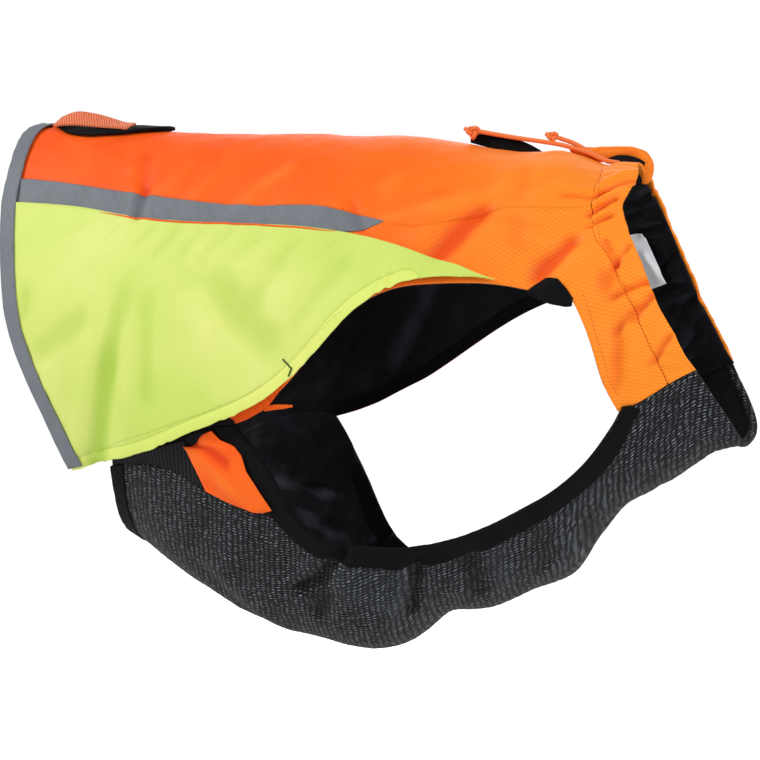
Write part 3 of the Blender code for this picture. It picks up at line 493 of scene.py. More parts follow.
# %% Placing a piece
def placed(name, data):
    """Object of a finished mesh or curve, riding on the vest's one body."""
    piece = bpy.data.objects.new(name, data)
    scene.collection.objects.link(piece)
    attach(piece, "root")
    return piece


def applied(maker):
    """Mesh of an object with its modifiers or bevel applied; the object is removed."""
    scene.collection.objects.link(maker)
    mesh = bpy.data.meshes.new_from_object(maker.evaluated_get(bpy.context.evaluated_depsgraph_get()))
    bpy.data.objects.remove(maker)
    return mesh


# %% [markdown]
# The neck's elastic cord comes out of the casing and lies along the back line in two free
# ends.

# %% Cord ends
CORD_WIDTH = 3.2 * MM
LONG_ROUTE = ((138, 0, -19.6), (132, 0, -18.6), (127, 0, -17.2), (116, 0, -12.4), (105, 0, -8.8),
              (96, 0, -6.4), (84, 0, -4.2), (66, 0, -1.4), (50, 0, 1.4), (37.6, 0, 3.8))
SHORT_ROUTE = ((130, 3.9, -18.9), (122, 4.2, -14.8), (112, 4.2, -9.4), (104, 4.2, -5.2), (94, 4.2, -1.6))


def round_curve(name, radius, resolution):
    """Empty curve with a round bevel and closed ends."""
    curve = bpy.data.curves.new(name, "CURVE")
    curve.dimensions = "3D"
    curve.bevel_depth = radius
    curve.bevel_resolution = resolution
    curve.use_fill_caps = True
    return curve


def cord_curve(name, route):
    """Round cord through the points of a route in millimetres."""
    curve = round_curve(name, CORD_WIDTH / 2, 5)
    spline = curve.splines.new("BEZIER")
    spline.resolution_u = 8
    spline.bezier_points.add(len(route) - 1)
    for knot, point in zip(spline.bezier_points, route):
        knot.co = Vector(point) * MM
        knot.handle_left_type = knot.handle_right_type = "AUTO"
    curve.materials.append(CORD_COVER)
    return placed(name, curve)


def route_length(route):
    return sum((Vector(b) - Vector(a)).length for a, b in zip(route, route[1:])) * MM


long_end = cord_curve("cord_end_long", LONG_ROUTE)
short_end = cord_curve("cord_end_short", SHORT_ROUTE)
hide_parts("drawcord_long")
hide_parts("drawcord_short")
print("cord lengths", round(route_length(LONG_ROUTE), 4), round(route_length(SHORT_ROUTE), 4))

# %% [markdown]
# Each end is tied in an overhand knot. Its line is a trefoil, drawn with sines and pulled so
# tight that the strands touch, with a short tail. The curve becomes a mesh, because a knot is
# one closed lump that is turned and moved into place.


# %% Knots
KNOT_POINTS = 48


def tied_knot(name, centre, reach, ends):
    """Overhand knot round a centre in millimetres, reach wide, with strands to its ends."""
    points = []
    for i in range(KNOT_POINTS):
        t = 2 * math.pi * i / KNOT_POINTS
        points.append((math.sin(t) + 2 * math.sin(2 * t), 1.5 * math.sin(3 * t),
                       math.cos(t) - 2 * math.cos(2 * t)))
    curve = round_curve(name, 0.47 * CORD_WIDTH, 3)
    loop = curve.splines.new("POLY")
    loop.points.add(len(points) - 1)
    loop.use_cyclic_u = True
    for knot, (x, y, z) in zip(loop.points, points):
        knot.co = (reach * x / 3 * MM, reach * y / 3 * MM, reach * z / 3 * MM, 1)
    for end in ends:
        strand = curve.splines.new("POLY")
        strand.points.add(1)
        for knot, share in zip(strand.points, (0.2, 1.0)):
            knot.co = (*(Vector(end) * share * MM), 1)
    mesh = applied(bpy.data.objects.new(name, curve))
    mesh.transform(Matrix.Translation(Vector(centre) * MM))
    mesh.shade_smooth()
    mesh.materials.clear()
    mesh.materials.append(CORD_COVER)
    return placed(name, mesh)


long_knot = tied_knot("cord_knot_long", (31.8, 0, 3.6), 4.1, ((-6.6, 0.5, 2.6), (6.0, 0, 0.2)))
short_knot = tied_knot("cord_knot_short", (88.8, 4.2, -0.6), 3.1, ((-5.0, 0.2, 2.2), (5.4, 0, -1.0)))
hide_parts("knot_long")
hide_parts("knot_short")
print("knot faces", len(long_knot.data.polygons))

# %% [markdown]
# All the cloth lies on one body form, so a point of it has an address: x along the vest and a
# girth angle round it, 0 on the back line, negative on the near side and 180 on the belly.
# Three lists of heights and widths give the form. The outward direction at an address is the
# same for every layer, so the layers move together when they are creased.

# %% The body form
STATION = (-320, -260, -200, -145, -100, -60, 0, 50, 100, 130, 160, 200, 250)
BACK = (15, 13, 9.3, 6.5, 7.5, 2.6, 2.3, -8, -10, -21, -22, -39, -70)
BELLY = (-296, -296, -312, -342, -360, -364, -352, -329, -309, -272, -247, -219, -213)
WIDTH = (66, 76.5, 88, 94.5, 97, 98, 96, 92, 86, 80, 69, 54, 34)
ARC = 2.4  # millimetres of cloth round the body for a degree of girth


def body_size(x):
    """Middle height, half height and half width of the body at stations, in millimetres."""
    back, belly = np.interp(x, STATION, BACK), np.interp(x, STATION, BELLY)
    return (back + belly) / 2, (back - belly) / 2, np.interp(x, STATION, WIDTH)


def address(points):
    """x and girth of points in metres, and the outward direction there."""
    x, y, z = (points[:, i] * PER_METRE for i in range(3))
    middle, tall, wide = body_size(x)
    turn = np.arctan2(y / wide, (z - middle) / tall)
    out = np.stack([np.zeros_like(x), np.sin(turn) / wide, np.cos(turn) / tall], axis=1)
    return x, np.degrees(turn), out / np.linalg.norm(out, axis=1)[:, None]


def on_form(x, girth):
    """Points of the form at addresses, in metres."""
    middle, tall, wide = body_size(x)
    turn = np.radians(girth)
    return np.stack([x, wide * np.sin(turn), middle + tall * np.cos(turn)], axis=1) * MM


def slid(points, x, girth, along, up):
    """Points moved over the form, by millimetres along the vest and up its side."""
    to_back = girth - np.sign(girth) * up / ARC
    return points + on_form(x + along, to_back) - on_form(x, girth)


print("half width at x = 0:", body_size(0)[2])

# %% [markdown]
# Real creases are uneven, so they aren't noise: each one is listed where the photograph shows
# it, as a line from one address to another with a half width and a height in millimetres,
# negative for a trough. A trough pushes up a low ridge on each side. Of the far side only the
# lining shows, through the armhole, and its few creases are placed in the same way. The rest
# gets the near side's creases, moved and changed so that it is no twin.

# %% Creases of the near side
BACK_CREASES = (
    ((-204, -27), (-196, -44), 5.0, -1.6), ((-196, -43), (-197, -54), 3.8, -2.4),
    ((-166, -31), (-178, -41), 5.0, 1.0), ((-142, -35), (-154, -43), 4.3, 1.0),
    ((-89, -32), (-114, -43), 6.5, 1.6), ((-110, -45), (-125, -49), 4.3, 0.8),
    ((-46, -44), (-63, -46), 5.0, 0.8), ((-4, -33), (-12, -39), 6.5, 1.2),
    ((-33, -44), (-23, -51), 3.6, -1.5), ((-7, -48), (30, -43), 5.0, 1.8),
    ((30, -43), (69, -35), 6.5, 1.3), ((69, -26), (70, -38), 7.0, 0.7),
    ((110, -34), (96, -38), 6.0, 1.0), ((81, -25), (85, -40), 7.0, -0.6),
)
SIDE_CREASES = (
    ((57, -44), (34, -57), 7.4, -3.8), ((121, -55), (104, -64), 6.4, -3.6),
    ((76, -46), (110, -51), 5.0, -1.1), ((86, -53), (101, -60), 8.0, -1.2),
    ((148, -69), (149, -73), 7.0, -1.8), ((157, -90), (155, -105), 5.0, -1.5),
    ((166, -92), (169, -107), 6.0, 1.0), ((155, -88), (166, -82), 3.4, -2.2),
    ((167, -86), (178, -77), 3.4, -2.4), ((179, -102), (188, -94), 3.4, -2.0),
    ((168, -105), (173, -103), 3.0, -1.0),
)
NECK_CREASES = (
    ((115, -37), (138, -35), 3.6, -1.8), ((138, -35), (156, -27), 3.0, -2.2),
    ((133, -44), (147, -39), 3.0, -2.6), ((134, -49), (146, -47), 2.7, -2.2),
    ((146, -57), (154, -66), 2.8, -2.0), ((154, -66), (161, -60), 2.7, -1.8),
    ((154, -77), (173, -73), 3.2, -2.4), ((135, -29), (155, -19), 3.8, 1.4),
    ((136, -40), (151, -34), 3.0, 1.4), ((137, -47), (148, -44), 2.6, 1.2),
)
KNIT_CREASES = (
    ((-36, -126), (-74, -140), 4.8, -6.4), ((-50, -136), (-66, -149), 7.0, -3.6),
    ((-32, -133), (-12, -142), 16.0, 3.0), ((-2, -136), (-3, -145), 9.0, 2.0),
    ((12, -136), (1, -153), 5.2, -5.6), ((50, -140), (50, -154), 7.0, -3.2),
    ((68, -138), (69, -154), 8.0, 2.0), ((97, -142), (98, -153), 7.0, -2.5),
    ((125, -154), (127, -177), 6.0, -3.0), ((167, -156), (166, -177), 6.0, -2.0),
    ((204, -159), (205, -177), 5.0, -1.6), ((-130, -118), (-160, -138), 7.0, -1.4),
    ((-95, -122), (-122, -141), 7.0, -1.4), ((-150, -150), (-120, -172), 9.0, -1.6),
)
print("near creases", len(BACK_CREASES + SIDE_CREASES + NECK_CREASES + KNIT_CREASES))

# %% Creases of the far side
FAR_SEEN = (
    ((-154, 123), (-109, 121), 4.0, 2.4), ((-144, 127), (-110, 131), 4.6, 2.4),
    ((-163, 112), (-137, 116), 7.0, -2.0), ((-131, 133), (-94, 133), 4.6, 1.8),
    ((-74, 70), (-117, 96), 8.0, -1.8), ((-20, 60), (-60, 84), 7.0, 1.4),
)


MOVES, WIDER, HIGHER = (7, -5, 3, -9), (1.0, 1.15, 0.9), (0.8, 1.1, 0.95)


def other_side(creases):
    """The same kind of creases across the back line, moved and changed in size."""
    found = []
    for k, ((x0, g0), (x1, g1), half_width, height) in enumerate(creases):
        step = MOVES[k % 4]
        found.append(((x0 + step, 1 - g0), (x1 + step * 0.6, 2 - g1), half_width * WIDER[k % 3],
                      height * HIGHER[k % 3]))
    return tuple(found)


NEAR_CREASES = BACK_CREASES + SIDE_CREASES + NECK_CREASES + KNIT_CREASES
BODY_CREASES = NEAR_CREASES + FAR_SEEN + other_side(NEAR_CREASES)
print("creases in all", len(BODY_CREASES))


# %% Crease heights
def crease_height(x, girth, creases):
    """Sum of the creases at addresses, in millimetres."""
    total = np.zeros_like(x)
    for (x0, g0), (x1, g1), half_width, height in creases:
        near_it = np.minimum(np.abs(girth - g0), np.abs(girth - g1)) < 60
        near_it &= np.abs(x - (x0 + x1) / 2) < 120
        if not near_it.any():
            continue
        run = np.array([x1 - x0, (g1 - g0) * ARC])
        length = np.linalg.norm(run)
        offset = np.stack([x[near_it] - x0, (girth[near_it] - g0) * ARC])
        along = (offset[0] * run[0] + offset[1] * run[1]) / length
        across = np.abs(offset[0] * run[1] - offset[1] * run[0]) / length
        past = np.maximum(0, np.maximum(-along, along - length))
        body = np.exp(-(across / half_width) ** 2)
        body -= 0.3 * np.exp(-((across - 2.1 * half_width) / half_width) ** 2)
        total[near_it] += height * body * np.exp(-(past / (1.3 * half_width)) ** 2)
    return total


RIPPLES = ((0.21, 0.05, 0.3), (-0.09, 0.17, 1.7), (0.13, 0.22, 2.9), (0.29, -0.11, 4.1), (-0.19, 0.28, 5.2))


def ripple_height(x, girth, size):
    """Slight unevenness that any hanging cloth has, in millimetres."""
    total = np.zeros_like(x)
    for along, around, phase in RIPPLES:
        total += np.sin(along * x + around * girth * ARC + phase + 1.3 * np.sin(0.031 * x + phase))
    return total * size / len(RIPPLES)


print("height in the side trough:", crease_height(np.array([46.0]), np.array([-50.0]), BODY_CREASES).round(2))

# %% [markdown]
# Each cloth piece starts as a copy of its solid, which is the right form with too few faces.
# The copy's loose triangles are merged and joined into quads. Its rim is marked as creased,
# so that subdivision smooths the face but keeps the cut edge where the seam needs it. Then
# the points move out or in by the creases, and the piece gets its weave coordinates.


# %% From a solid to smooth cloth
CUT_EDGE = math.radians(50)     # an edge of a solid as sharp as this is a cut edge of the cloth
SHARP_SHADE = math.radians(55)  # a finished edge as sharp as this is shaded sharp
SEAM_CLOSE = 0.2                # millimetres by which a cut edge grows, so that sewn edges meet


def quad_copy(node):
    """Merged copy of a node's mesh in quads, with its rim marked for subdivision."""
    shape = bmesh.new()
    shape.from_mesh(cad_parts[node].data)
    bmesh.ops.remove_doubles(shape, verts=shape.verts, dist=0.00001)
    bmesh.ops.join_triangles(shape, faces=shape.faces, angle_face_threshold=math.radians(45),
                             angle_shape_threshold=math.radians(75))
    rim = shape.edges.layers.float.new("crease_edge")
    corner = shape.verts.layers.float.new("crease_vert")
    for edge in shape.edges:
        if len(edge.link_faces) == 2 and edge.calc_face_angle() > CUT_EDGE:
            edge[rim] = 1.0
    for vert in shape.verts:
        sharp = [edge for edge in vert.link_edges if edge[rim] > 0]
        if len(sharp) == 2:
            first, second = [(edge.other_vert(vert).co - vert.co).normalized() for edge in sharp]
            if first.dot(second) > -0.8:
                vert[corner] = 1.0
    return shape


def subdivided(shape, levels):
    """Mesh of a bmesh after Catmull-Clark subdivision."""
    rough = bpy.data.meshes.new("rough")
    shape.to_mesh(rough)
    shape.free()
    maker = bpy.data.objects.new("maker", rough)
    smoother = maker.modifiers.new("smooth", "SUBSURF")
    smoother.levels = smoother.render_levels = levels
    mesh = applied(maker)
    bpy.data.meshes.remove(rough)
    return mesh


def points_of(mesh, what="co"):
    """Points of a mesh, or their normals, as rows."""
    flat = np.empty(3 * len(mesh.vertices))
    mesh.vertices.foreach_get(what, flat)
    return flat.reshape(-1, 3)


def raised(points, out, height):
    """Points moved along their directions by heights in millimetres."""
    return points + out * (height * MM)[:, None]


def carry(mesh, name, values):
    """Store a value for each point of a mesh as an attribute."""
    carried = mesh.attributes.get(name) or mesh.attributes.new(name, "FLOAT", "POINT")
    carried.data.foreach_set("value", values)


def from_belly_line(x, girth):
    """Millimetres of cloth from the belly line, by Simpson's rule on the form's section."""
    _, tall, wide = body_size(x)
    degrees = girth % 360 - 180

    def for_degree(share):
        turn = np.radians(180 + degrees * share)
        return np.hypot(wide * np.cos(turn), tall * np.sin(turn)) * math.pi / 180
    return degrees * (for_degree(0) + 4 * for_degree(0.5) + for_degree(1)) / 6


def lay_weave(mesh, x, girth):
    """UV map in metres, along and round the body, unbroken across the belly line."""
    round_body = girth * ARC
    if np.abs(girth).max() > 150 and np.abs(girth).min() > 45:
        round_body = from_belly_line(x, girth)
    corners = np.empty(len(mesh.loops), dtype=np.int64)
    mesh.loops.foreach_get("vertex_index", corners)
    layer = mesh.uv_layers.new(name="weave")
    both = np.stack([x[corners], round_body[corners]], axis=1) * MM
    layer.data.foreach_set("uv", both.ravel())


def dressed(name, mesh, slot, x, girth):
    mesh.name = name
    while mesh.uv_layers:
        mesh.uv_layers.remove(mesh.uv_layers[0])
    lay_weave(mesh, x, girth)
    mesh.materials.clear()
    mesh.materials.append(CLOTH_OF[slot])
    mesh.shade_smooth()
    mesh.set_sharp_from_angle(angle=SHARP_SHADE)
    piece = placed(name, mesh)
    print(f"{name}: {len(mesh.polygons)} faces, {[round(v, 3) for v in piece.dimensions]}")
    return piece


def cloth_piece(name, node, slot, levels, shaping=None, ripple=0.35, creases=BODY_CREASES,
                prepare=None, finer=None):
    """Smooth, creased piece that stands for a CAD node."""
    shape = quad_copy(node)
    if prepare:
        prepare(shape)
    mesh = subdivided(shape, levels)
    if finer:
        finer(mesh)
    points = points_of(mesh)
    x, girth, out = address(points)
    normal = points_of(mesh, "normal")
    sideways = normal - out * (normal * out).sum(axis=1)[:, None]
    height = crease_height(x, girth, creases) + ripple_height(x, girth, ripple)
    points = raised(points, out, height) + sideways * SEAM_CLOSE * MM
    # The fold attribute also drives the painted fold shade and highlight of the materials.
    carry(mesh, "fold", height)
    if shaping:
        points = shaping(mesh, points, x, girth, out)
    mesh.vertices.foreach_set("co", points.ravel())
    piece = dressed(name, mesh, slot, x, girth)
    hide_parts(node)
    return piece


def cloth_pair(name, node, slot, levels, shaping=None):
    """Near and far piece of a pair of CAD nodes."""
    return [cloth_piece(name + side, node + side, slot, levels, shaping) for side in ("_near", "_far")]


# %% [markdown]
# The back is one panel over the back line, and each side panel goes on into the strip in
# front of the armhole. They are sewn edge to edge, so their rims share the same points. Under
# the near flap the side panel's lower edge is drawn up, and its rear corner is drawn in.


# %% Orange shell
def drawn_up(mesh, points, x, girth, out):
    """Lower edge of the side panel behind the turned hem, and the corner at the rear binding."""
    low = np.clip((-girth - 84) / 12, 0, 1) * np.exp(-((x + 130) / 17) ** 4)
    corner = np.clip((np.abs(girth) - 112) / 14, 0, 1) * np.clip((-225 - x) / 15, 0, 1)
    moved = raised(points, out, -(1.2 * low + 2.4 * corner))
    return slid(moved, x, girth, 0, 5.0 * low + 2.0 * corner)


back_cloth = cloth_piece("back_cloth", "back_panel", "shell", 3)
near_side_cloth, far_side_cloth = cloth_pair("side_cloth", "side_panel", "shell", 3, drawn_up)

# %% [markdown]
# The lining lies against the shell and shares its creases, and it draws in a little under the
# neck casing, whose gathers need the room. Black facings are sewn along the armhole's upper
# edge inside.

# %% Black lining
CASING_GIRTH = (0, 42, 54, 65, 73, 83, 93, 112)
CASING_X = (133, 133, 138, 151, 157, 168, 174, 187)


def past_casing_line(x, girth, reach):
    """Share from 0 at the casing's stitch line to 1 at reach millimetres in front of it."""
    return np.clip((x - np.interp(np.abs(girth), CASING_GIRTH, CASING_X)) / reach, 0, 1)


def drawn_in(mesh, points, x, girth, out):
    inward = 0.3 + 1.3 * past_casing_line(x, girth, 8) * (np.abs(girth) < 118)
    moved = raised(points, out, -inward)
    to_edge = past_casing_line(x, girth, 15) ** 2 * np.clip((girth - 18) / 20, 0, 1) * (girth < 125)
    moved[:, 0] += 3.2 * to_edge * MM
    return moved


lining_cloth = cloth_piece("lining_cloth", "body_lining", "lining", 3, drawn_in)
near_facing, far_facing = cloth_pair("facing", "armhole_facing", "binding", 3)

# %% [markdown]
# A casing for the elastic cord closes the neck. Its cloth is gathered, so it stands in short
# soft puckers between the stitch line and the edge, each a little different from the next. The
# solid has even gathers, which are first evened out by moving each point to the mean of itself
# and its neighbours. A seeded list then gives uneven ones, lower than the listed creases.


# %% Gathered casings
def evened(shape):
    """Each point of the casing at the mean of itself and its neighbours round the neck."""
    middle = {}
    for vert in shape.verts:
        steps = [edge.other_vert(vert).co - vert.co for edge in vert.link_edges]
        beside = [step for step in steps if step.length > 2 * MM and abs(step.x) < 0.6 * step.length]
        if len(beside) == 2:
            middle[vert] = vert.co + (beside[0] + beside[1]) / 4
    for vert, place in middle.items():
        vert.co = place


def gathers(seed):
    """Places along the casing in millimetres, with widths and heights."""
    luck = random.Random(seed)
    found, at, up = [], 6.0, 1
    while at < 275:
        found.append((at, luck.uniform(2.0, 4.2), up * luck.uniform(0.12, 0.6)))
        at += luck.uniform(4.2, 9.5)
        up = -up
    return found


def gathered(seed):
    def shaping(mesh, points, x, girth, out):
        span = np.abs(girth) * ARC
        share = past_casing_line(x, girth, 17)
        total = np.zeros_like(x)
        for at, width, height in gathers(seed):
            total += height * np.exp(-((span - at - 5 * share) / width) ** 2)
        total *= np.sin(np.pi * np.clip(share, 0, 0.75)) ** 0.7
        slow = 0.5 * np.sin(0.075 * span + seed) + 0.3 * np.sin(0.17 * span + 2 * seed)
        moved = raised(points, out, total + slow * share)
        moved[:, 0] += (0.5 * total + 0.8 * slow) * share ** 2 * MM
        return moved
    return shaping


near_casing = cloth_piece("casing_near", "neck_casing_near", "shell", 3, gathered(3), prepare=evened)
far_casing = cloth_piece("casing_far", "neck_casing_far", "shell", 3, gathered(8), prepare=evened)


# %% [markdown]
# Behind the nape the far casing stands up as a puffed band over its own black inner side. It is
# a tube with a changing width: a circle is made at each place of a short table, turned across
# the band's line and flattened, and bridge_loops joins each circle to the next.


# %% Puffed neck band
def tube(rings, around=16):
    """Closed tube through rings of (centre, half width, half depth, way of the depth), in millimetres."""
    shape = bmesh.new()
    centres = [Vector(ring[0]) for ring in rings]
    loops = []
    for k, (centre, (_, wide, deep, upright)) in enumerate(zip(centres, rings)):
        along = (centres[min(k + 1, len(rings) - 1)] - centres[max(k - 1, 0)]).normalized()
        away = Vector(upright)
        away = (away - along * away.dot(along)).normalized()
        across = along.cross(away)
        turn = Matrix((across * wide * MM, away * deep * MM, along * MM)).transposed().to_4x4()
        turn.translation = centre * MM
        ring = bmesh.ops.create_circle(shape, segments=around, radius=1, matrix=turn)["verts"]
        loops.append({edge for vert in ring for edge in vert.link_edges})
    for first, second in zip(loops, loops[1:]):
        bmesh.ops.bridge_loops(shape, edges=list(first | second))
    for end in (loops[0], loops[-1]):
        bmesh.ops.edgeloop_fill(shape, edges=list(end))
    bmesh.ops.recalc_face_normals(shape, faces=shape.faces)
    return shape


def new_cloth_piece(name, shape, slot, levels, shaping=None, depth=0.0):
    """Piece of its own form, smoothed and dressed as the copies are, with the painted shade of a fold of the
    given depth.
    """
    mesh = subdivided(shape, levels)
    points = points_of(mesh)
    x, girth, out = address(points)
    carry(mesh, "fold", np.full(len(x), depth))
    if shaping:
        points = shaping(mesh, points, x, girth, out)
        mesh.vertices.foreach_set("co", points.ravel())
    return dressed(name, mesh, slot, x, girth)


def swollen(size, ruffle):
    def shaping(mesh, points, x, girth, out):
        swell = ruffle * np.sin(0.55 * x + 0.8 * np.sin(0.21 * x))
        swell = size + swell * np.cos(0.3 * points[:, 1] * PER_METRE)
        return raised(points, points_of(mesh, "normal"), swell)
    return shaping


FROM_VIEW = (-0.34, 0.94, 0)  # the band's thickness lies along the view
BAND_LINE = (  # x, y, z of the middle, half width
    (101.0, 5.5, -9.6, 1.4), (107.0, 6.5, -11.2, 2.9), (112.0, 8.0, -12.4, 4.2), (117.5, 10.0, -13.2, 5.2),
    (123.0, 12.0, -13.2, 5.4), (129.6, 14.5, -12.0, 4.5), (138.1, 17.5, -10.9, 3.4),
    (144.6, 20.0, -12.0, 4.1), (149.0, 22.0, -15.4, 5.4), (150.6, 24.0, -20.0, 6.1),
    (150.0, 25.5, -25.2, 5.8), (149.4, 27.0, -30.0, 4.4), (149.0, 28.0, -33.5, 2.2),
)
band_rings = [((x, y, z), half, 0.62 * half + 0.4, FROM_VIEW) for x, y, z, half in BAND_LINE]
# The band is given the painted shade of a fold 1 mm deep.
nape_band = new_cloth_piece("nape_band", tube(band_rings), "shell", 2, swollen(0.25, 0.22), -1.0)
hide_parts("neck_band")
nape_lining = cloth_piece("nape_inner", "nape_lining", "lining", 3, creases=())

# %% [markdown]
# The flap is sewn under the tape and hangs free. Its own creases run down from the seam, and
# its hem is turned in and sewn, which puckers it. The distance of a point from the hem tells
# where the groove of the stitching and the puckers lie.

# %% Creases of the flap
FLAP_CREASES = (
    ((-197, -77), (-210, -94), 8.0, -2.4), ((-210, -94), (-234, -128), 9.0, -3.4),
    ((-178, -78), (-177, -96), 8.0, -1.6), ((-236, -85), (-271, -93), 9.0, -1.6),
    ((-287, -80), (-287, -84), 6.0, -1.4), ((-130, -68), (-84, -78), 12.0, -2.2),
    ((-77, -63), (-91, -69), 7.0, -1.4), ((-136, -62), (-129, -78), 10.0, 1.2),
    ((-180, -57), (-191, -62), 3.4, -0.9), ((-160, -56), (-175, -64), 3.4, -1.0),
    ((-140, -55), (-152, -61), 3.4, -0.9), ((-119, -55), (-136, -63), 3.6, -1.1),
    ((-95, -56), (-108, -61), 3.4, -0.9), ((-67, -56), (-81, -62), 3.4, -1.0),
    ((-40, -56), (-51, -60), 3.2, -0.8), ((-209, -58), (-219, -63), 3.4, -0.8),
    ((-240, -59), (-250, -62), 3.4, -0.6), ((-30, -62), (-60, -74), 7.0, -1.0),
)


def flap_drop(x, girth):
    """How far down the flap a point lies, from 0 at the tape to 1 at the hem."""
    top = np.interp(x, (-310, -200, -100, 0, 75), (66, 58, 56, 60, 73))
    hem = np.interp(x, (-252, -173, -105, -51, -4, 75), (128, 114, 104, 93, 77, 74))
    return np.clip((np.abs(girth) - top) / np.maximum(hem - top, 1.5), 0, 1)


HEM_FAR = 40     # millimetres beyond which the distance from the hem doesn't matter
FINE_REACH = 15  # millimetres of the flap along its hem that get finer faces


def hem_distance(mesh, points, x, drop):
    """Distance of each point from the flap's free hem, in millimetres."""
    probe = bmesh.new()
    probe.from_mesh(mesh)
    sharp = {v.index for e in probe.edges if e.calc_face_angle(0) > CUT_EDGE for v in e.verts}
    probe.free()
    marks = [i for i in sharp if drop[i] > 0.3 and x[i] < 70]
    tree = KDTree(len(marks))
    for i in marks:
        tree.insert(points[i], i)
    tree.balance()
    return np.minimum(HEM_FAR, np.array([tree.find(p)[2] for p in points]) * PER_METRE)


def flap_hem(creases):
    def shaping(mesh, points, x, girth, out):
        drop = flap_drop(x, girth)
        own = crease_height(x, girth, creases)
        room = 1.2 + 4.5 * drop ** 1.5
        own = np.where(own < 0, -room * np.tanh(-own / room), own)
        # The fold attribute, which paints shade and highlight into the flap's colour, takes a share of the
        # body's creases and more than the flap's own.
        carry(mesh, "fold", 0.4 * crease_height(x, girth, BODY_CREASES) + 1.15 * own)
        rim = hem_distance(mesh, points, x, drop)
        carry(mesh, "hem_distance", rim)
        fold = 0.35 * np.exp(-((rim - 4.5) / 3.2) ** 2) - 0.45 * np.exp(-((rim - HEM_DEPTH) / 1.3) ** 2)
        wobble = np.sin(0.62 * x + 1.4 * np.sin(0.23 * x)) * (0.6 + 0.4 * np.sin(0.11 * x + 1))
        tip = 1 + 1.4 * np.clip((x + 40) / 60, 0, 1)
        pucker = wobble * tip * 0.4 * np.exp(-((rim - HEM_DEPTH) / 5.0) ** 2)
        moved = raised(points, out, own + fold + pucker)
        edge = np.exp(-(rim / 3.0) ** 2) * (0.35 * wobble * tip + 0.25 * np.sin(0.27 * x + 2))
        moved[:, 2] += edge * MM
        tip_line = np.polyfit(x[x > 48], np.abs(girth[x > 48]), 1)
        pointed = 0.8 * np.clip((x - 52) / 22, 0, 1) * (np.abs(girth) - np.polyval(tip_line, x)) * ARC
        return slid(moved, x, girth, 0, pointed)
    return shaping


# %% [markdown]
# The hem needs finer faces than the rest of the flap. The faces close to the flap's lower edge
# are cut in four before the points move, which costs far less than a finer flap.


# %% Yellow flaps
def finer_hem(mesh):
    """Cut the faces near the hem in four."""
    points = points_of(mesh)
    x, girth, _ = address(points)
    drop = flap_drop(x, girth)
    rim = hem_distance(mesh, points, x, drop)
    shape = bmesh.new()
    shape.from_mesh(mesh)
    shape.verts.ensure_lookup_table()
    close = [f for f in shape.faces if all(rim[v.index] < FINE_REACH for v in f.verts)]
    edges = list({e for f in close for e in f.edges})
    bmesh.ops.subdivide_edges(shape, edges=edges, cuts=1, use_grid_fill=True)
    shape.to_mesh(mesh)
    shape.free()


near_flap_cloth = cloth_piece("flap_cloth_near", "flap_near", "flap", 3, flap_hem(FLAP_CREASES),
                              finer=finer_hem)
far_flap_cloth = cloth_piece("flap_cloth_far", "flap_far", "flap", 3,
                             flap_hem(other_side(FLAP_CREASES)), finer=finer_hem)

# %% [markdown]
# The tape lies flat on the seam of the flap, and a wider one folds round the rear edge.

# %% Tapes
def sewn_tape(mesh, points, x, girth, out):
    """Small puckers where the tape's stitching draws it in."""
    pucker = 0.22 * np.sin(0.41 * x + 1.7 * np.sin(0.12 * x)) * np.sin(0.9 * girth + 0.2 * x)
    return raised(points, out, pucker)


near_tape_cloth = cloth_piece("tape_cloth_near", "tape_near", "tape", 4, sewn_tape)
far_tape_cloth = cloth_piece("tape_cloth_far", "tape_far", "tape", 3, sewn_tape)
rear_tape = cloth_piece("rear_tape", "rear_binding", "tape", 3, sewn_tape)

# %% [markdown]
# The belly part is a thick knit with a black lining, and black bindings fold round its edges.
# A folded binding is drawn tight by its seam, so it puckers more finely than the panels do.


# %% Belly part
def knit_rows(mesh, points, x, girth, out):
    """Slight rows of the knit that show on its outline."""
    rows = 0.22 * np.sin(2 * math.pi * (x + 0.35 * girth * ARC) / 6.5)
    return raised(points, out, rows)


def tight_seam(mesh, points, x, girth, out):
    """Fine puckers of a binding."""
    pucker = 0.16 * np.sin(0.9 * x + 1.2 * np.sin(0.17 * x)) + 0.14 * np.sin(0.37 * girth * ARC)
    return raised(points, out, pucker)


def under_knit(mesh, points, x, girth, out):
    """The lining keeps clear of the knit, and laps over the far flap's inner hem."""
    lap = np.clip((118 - girth) / 8, 0, 1) * np.clip((x + 215) / 25, 0, 1)
    lap *= np.clip((-84 - x) / 12, 0, 1)
    lap *= girth > 60
    moved = raised(points, out, -(0.3 + 2.2 * lap))
    return slid(moved, x, girth, 0, 5.0 * lap)


def up_to_chest(mesh, points, x, girth, out):
    """The near binding's front end widens and reaches up to the orange strip."""
    moved = tight_seam(mesh, points, x, girth, out)
    end = np.clip((x - 118) / 26, 0, 1) * np.clip((points[:, 2] * PER_METRE + 236) / 36, 0, 1)
    corner = end * np.clip((x - 149) / 10, 0, 1)
    return raised(slid(moved, x, girth, 6.0 * end, 5.0 * end + 11.0 * corner), out, end)


belly_cloth = cloth_piece("belly_cloth", "belly_panel", "knit", 3, knit_rows)
belly_lining_cloth = cloth_piece("belly_lining_cloth", "belly_lining", "lining", 2, under_knit)
near_belly_edge = cloth_piece("belly_edge_near", "belly_binding_near", "binding", 3, up_to_chest)
far_belly_edge = cloth_piece("belly_edge_far", "belly_binding_far", "binding", 3, tight_seam)
belly_rear_edge = cloth_piece("belly_edge_rear", "belly_rear_binding", "binding", 3, tight_seam)

# %% [markdown]
# A rear strap on each side joins the belly part to the back. Its rear half is a ribbed
# elastic, and its front half an orange insert.

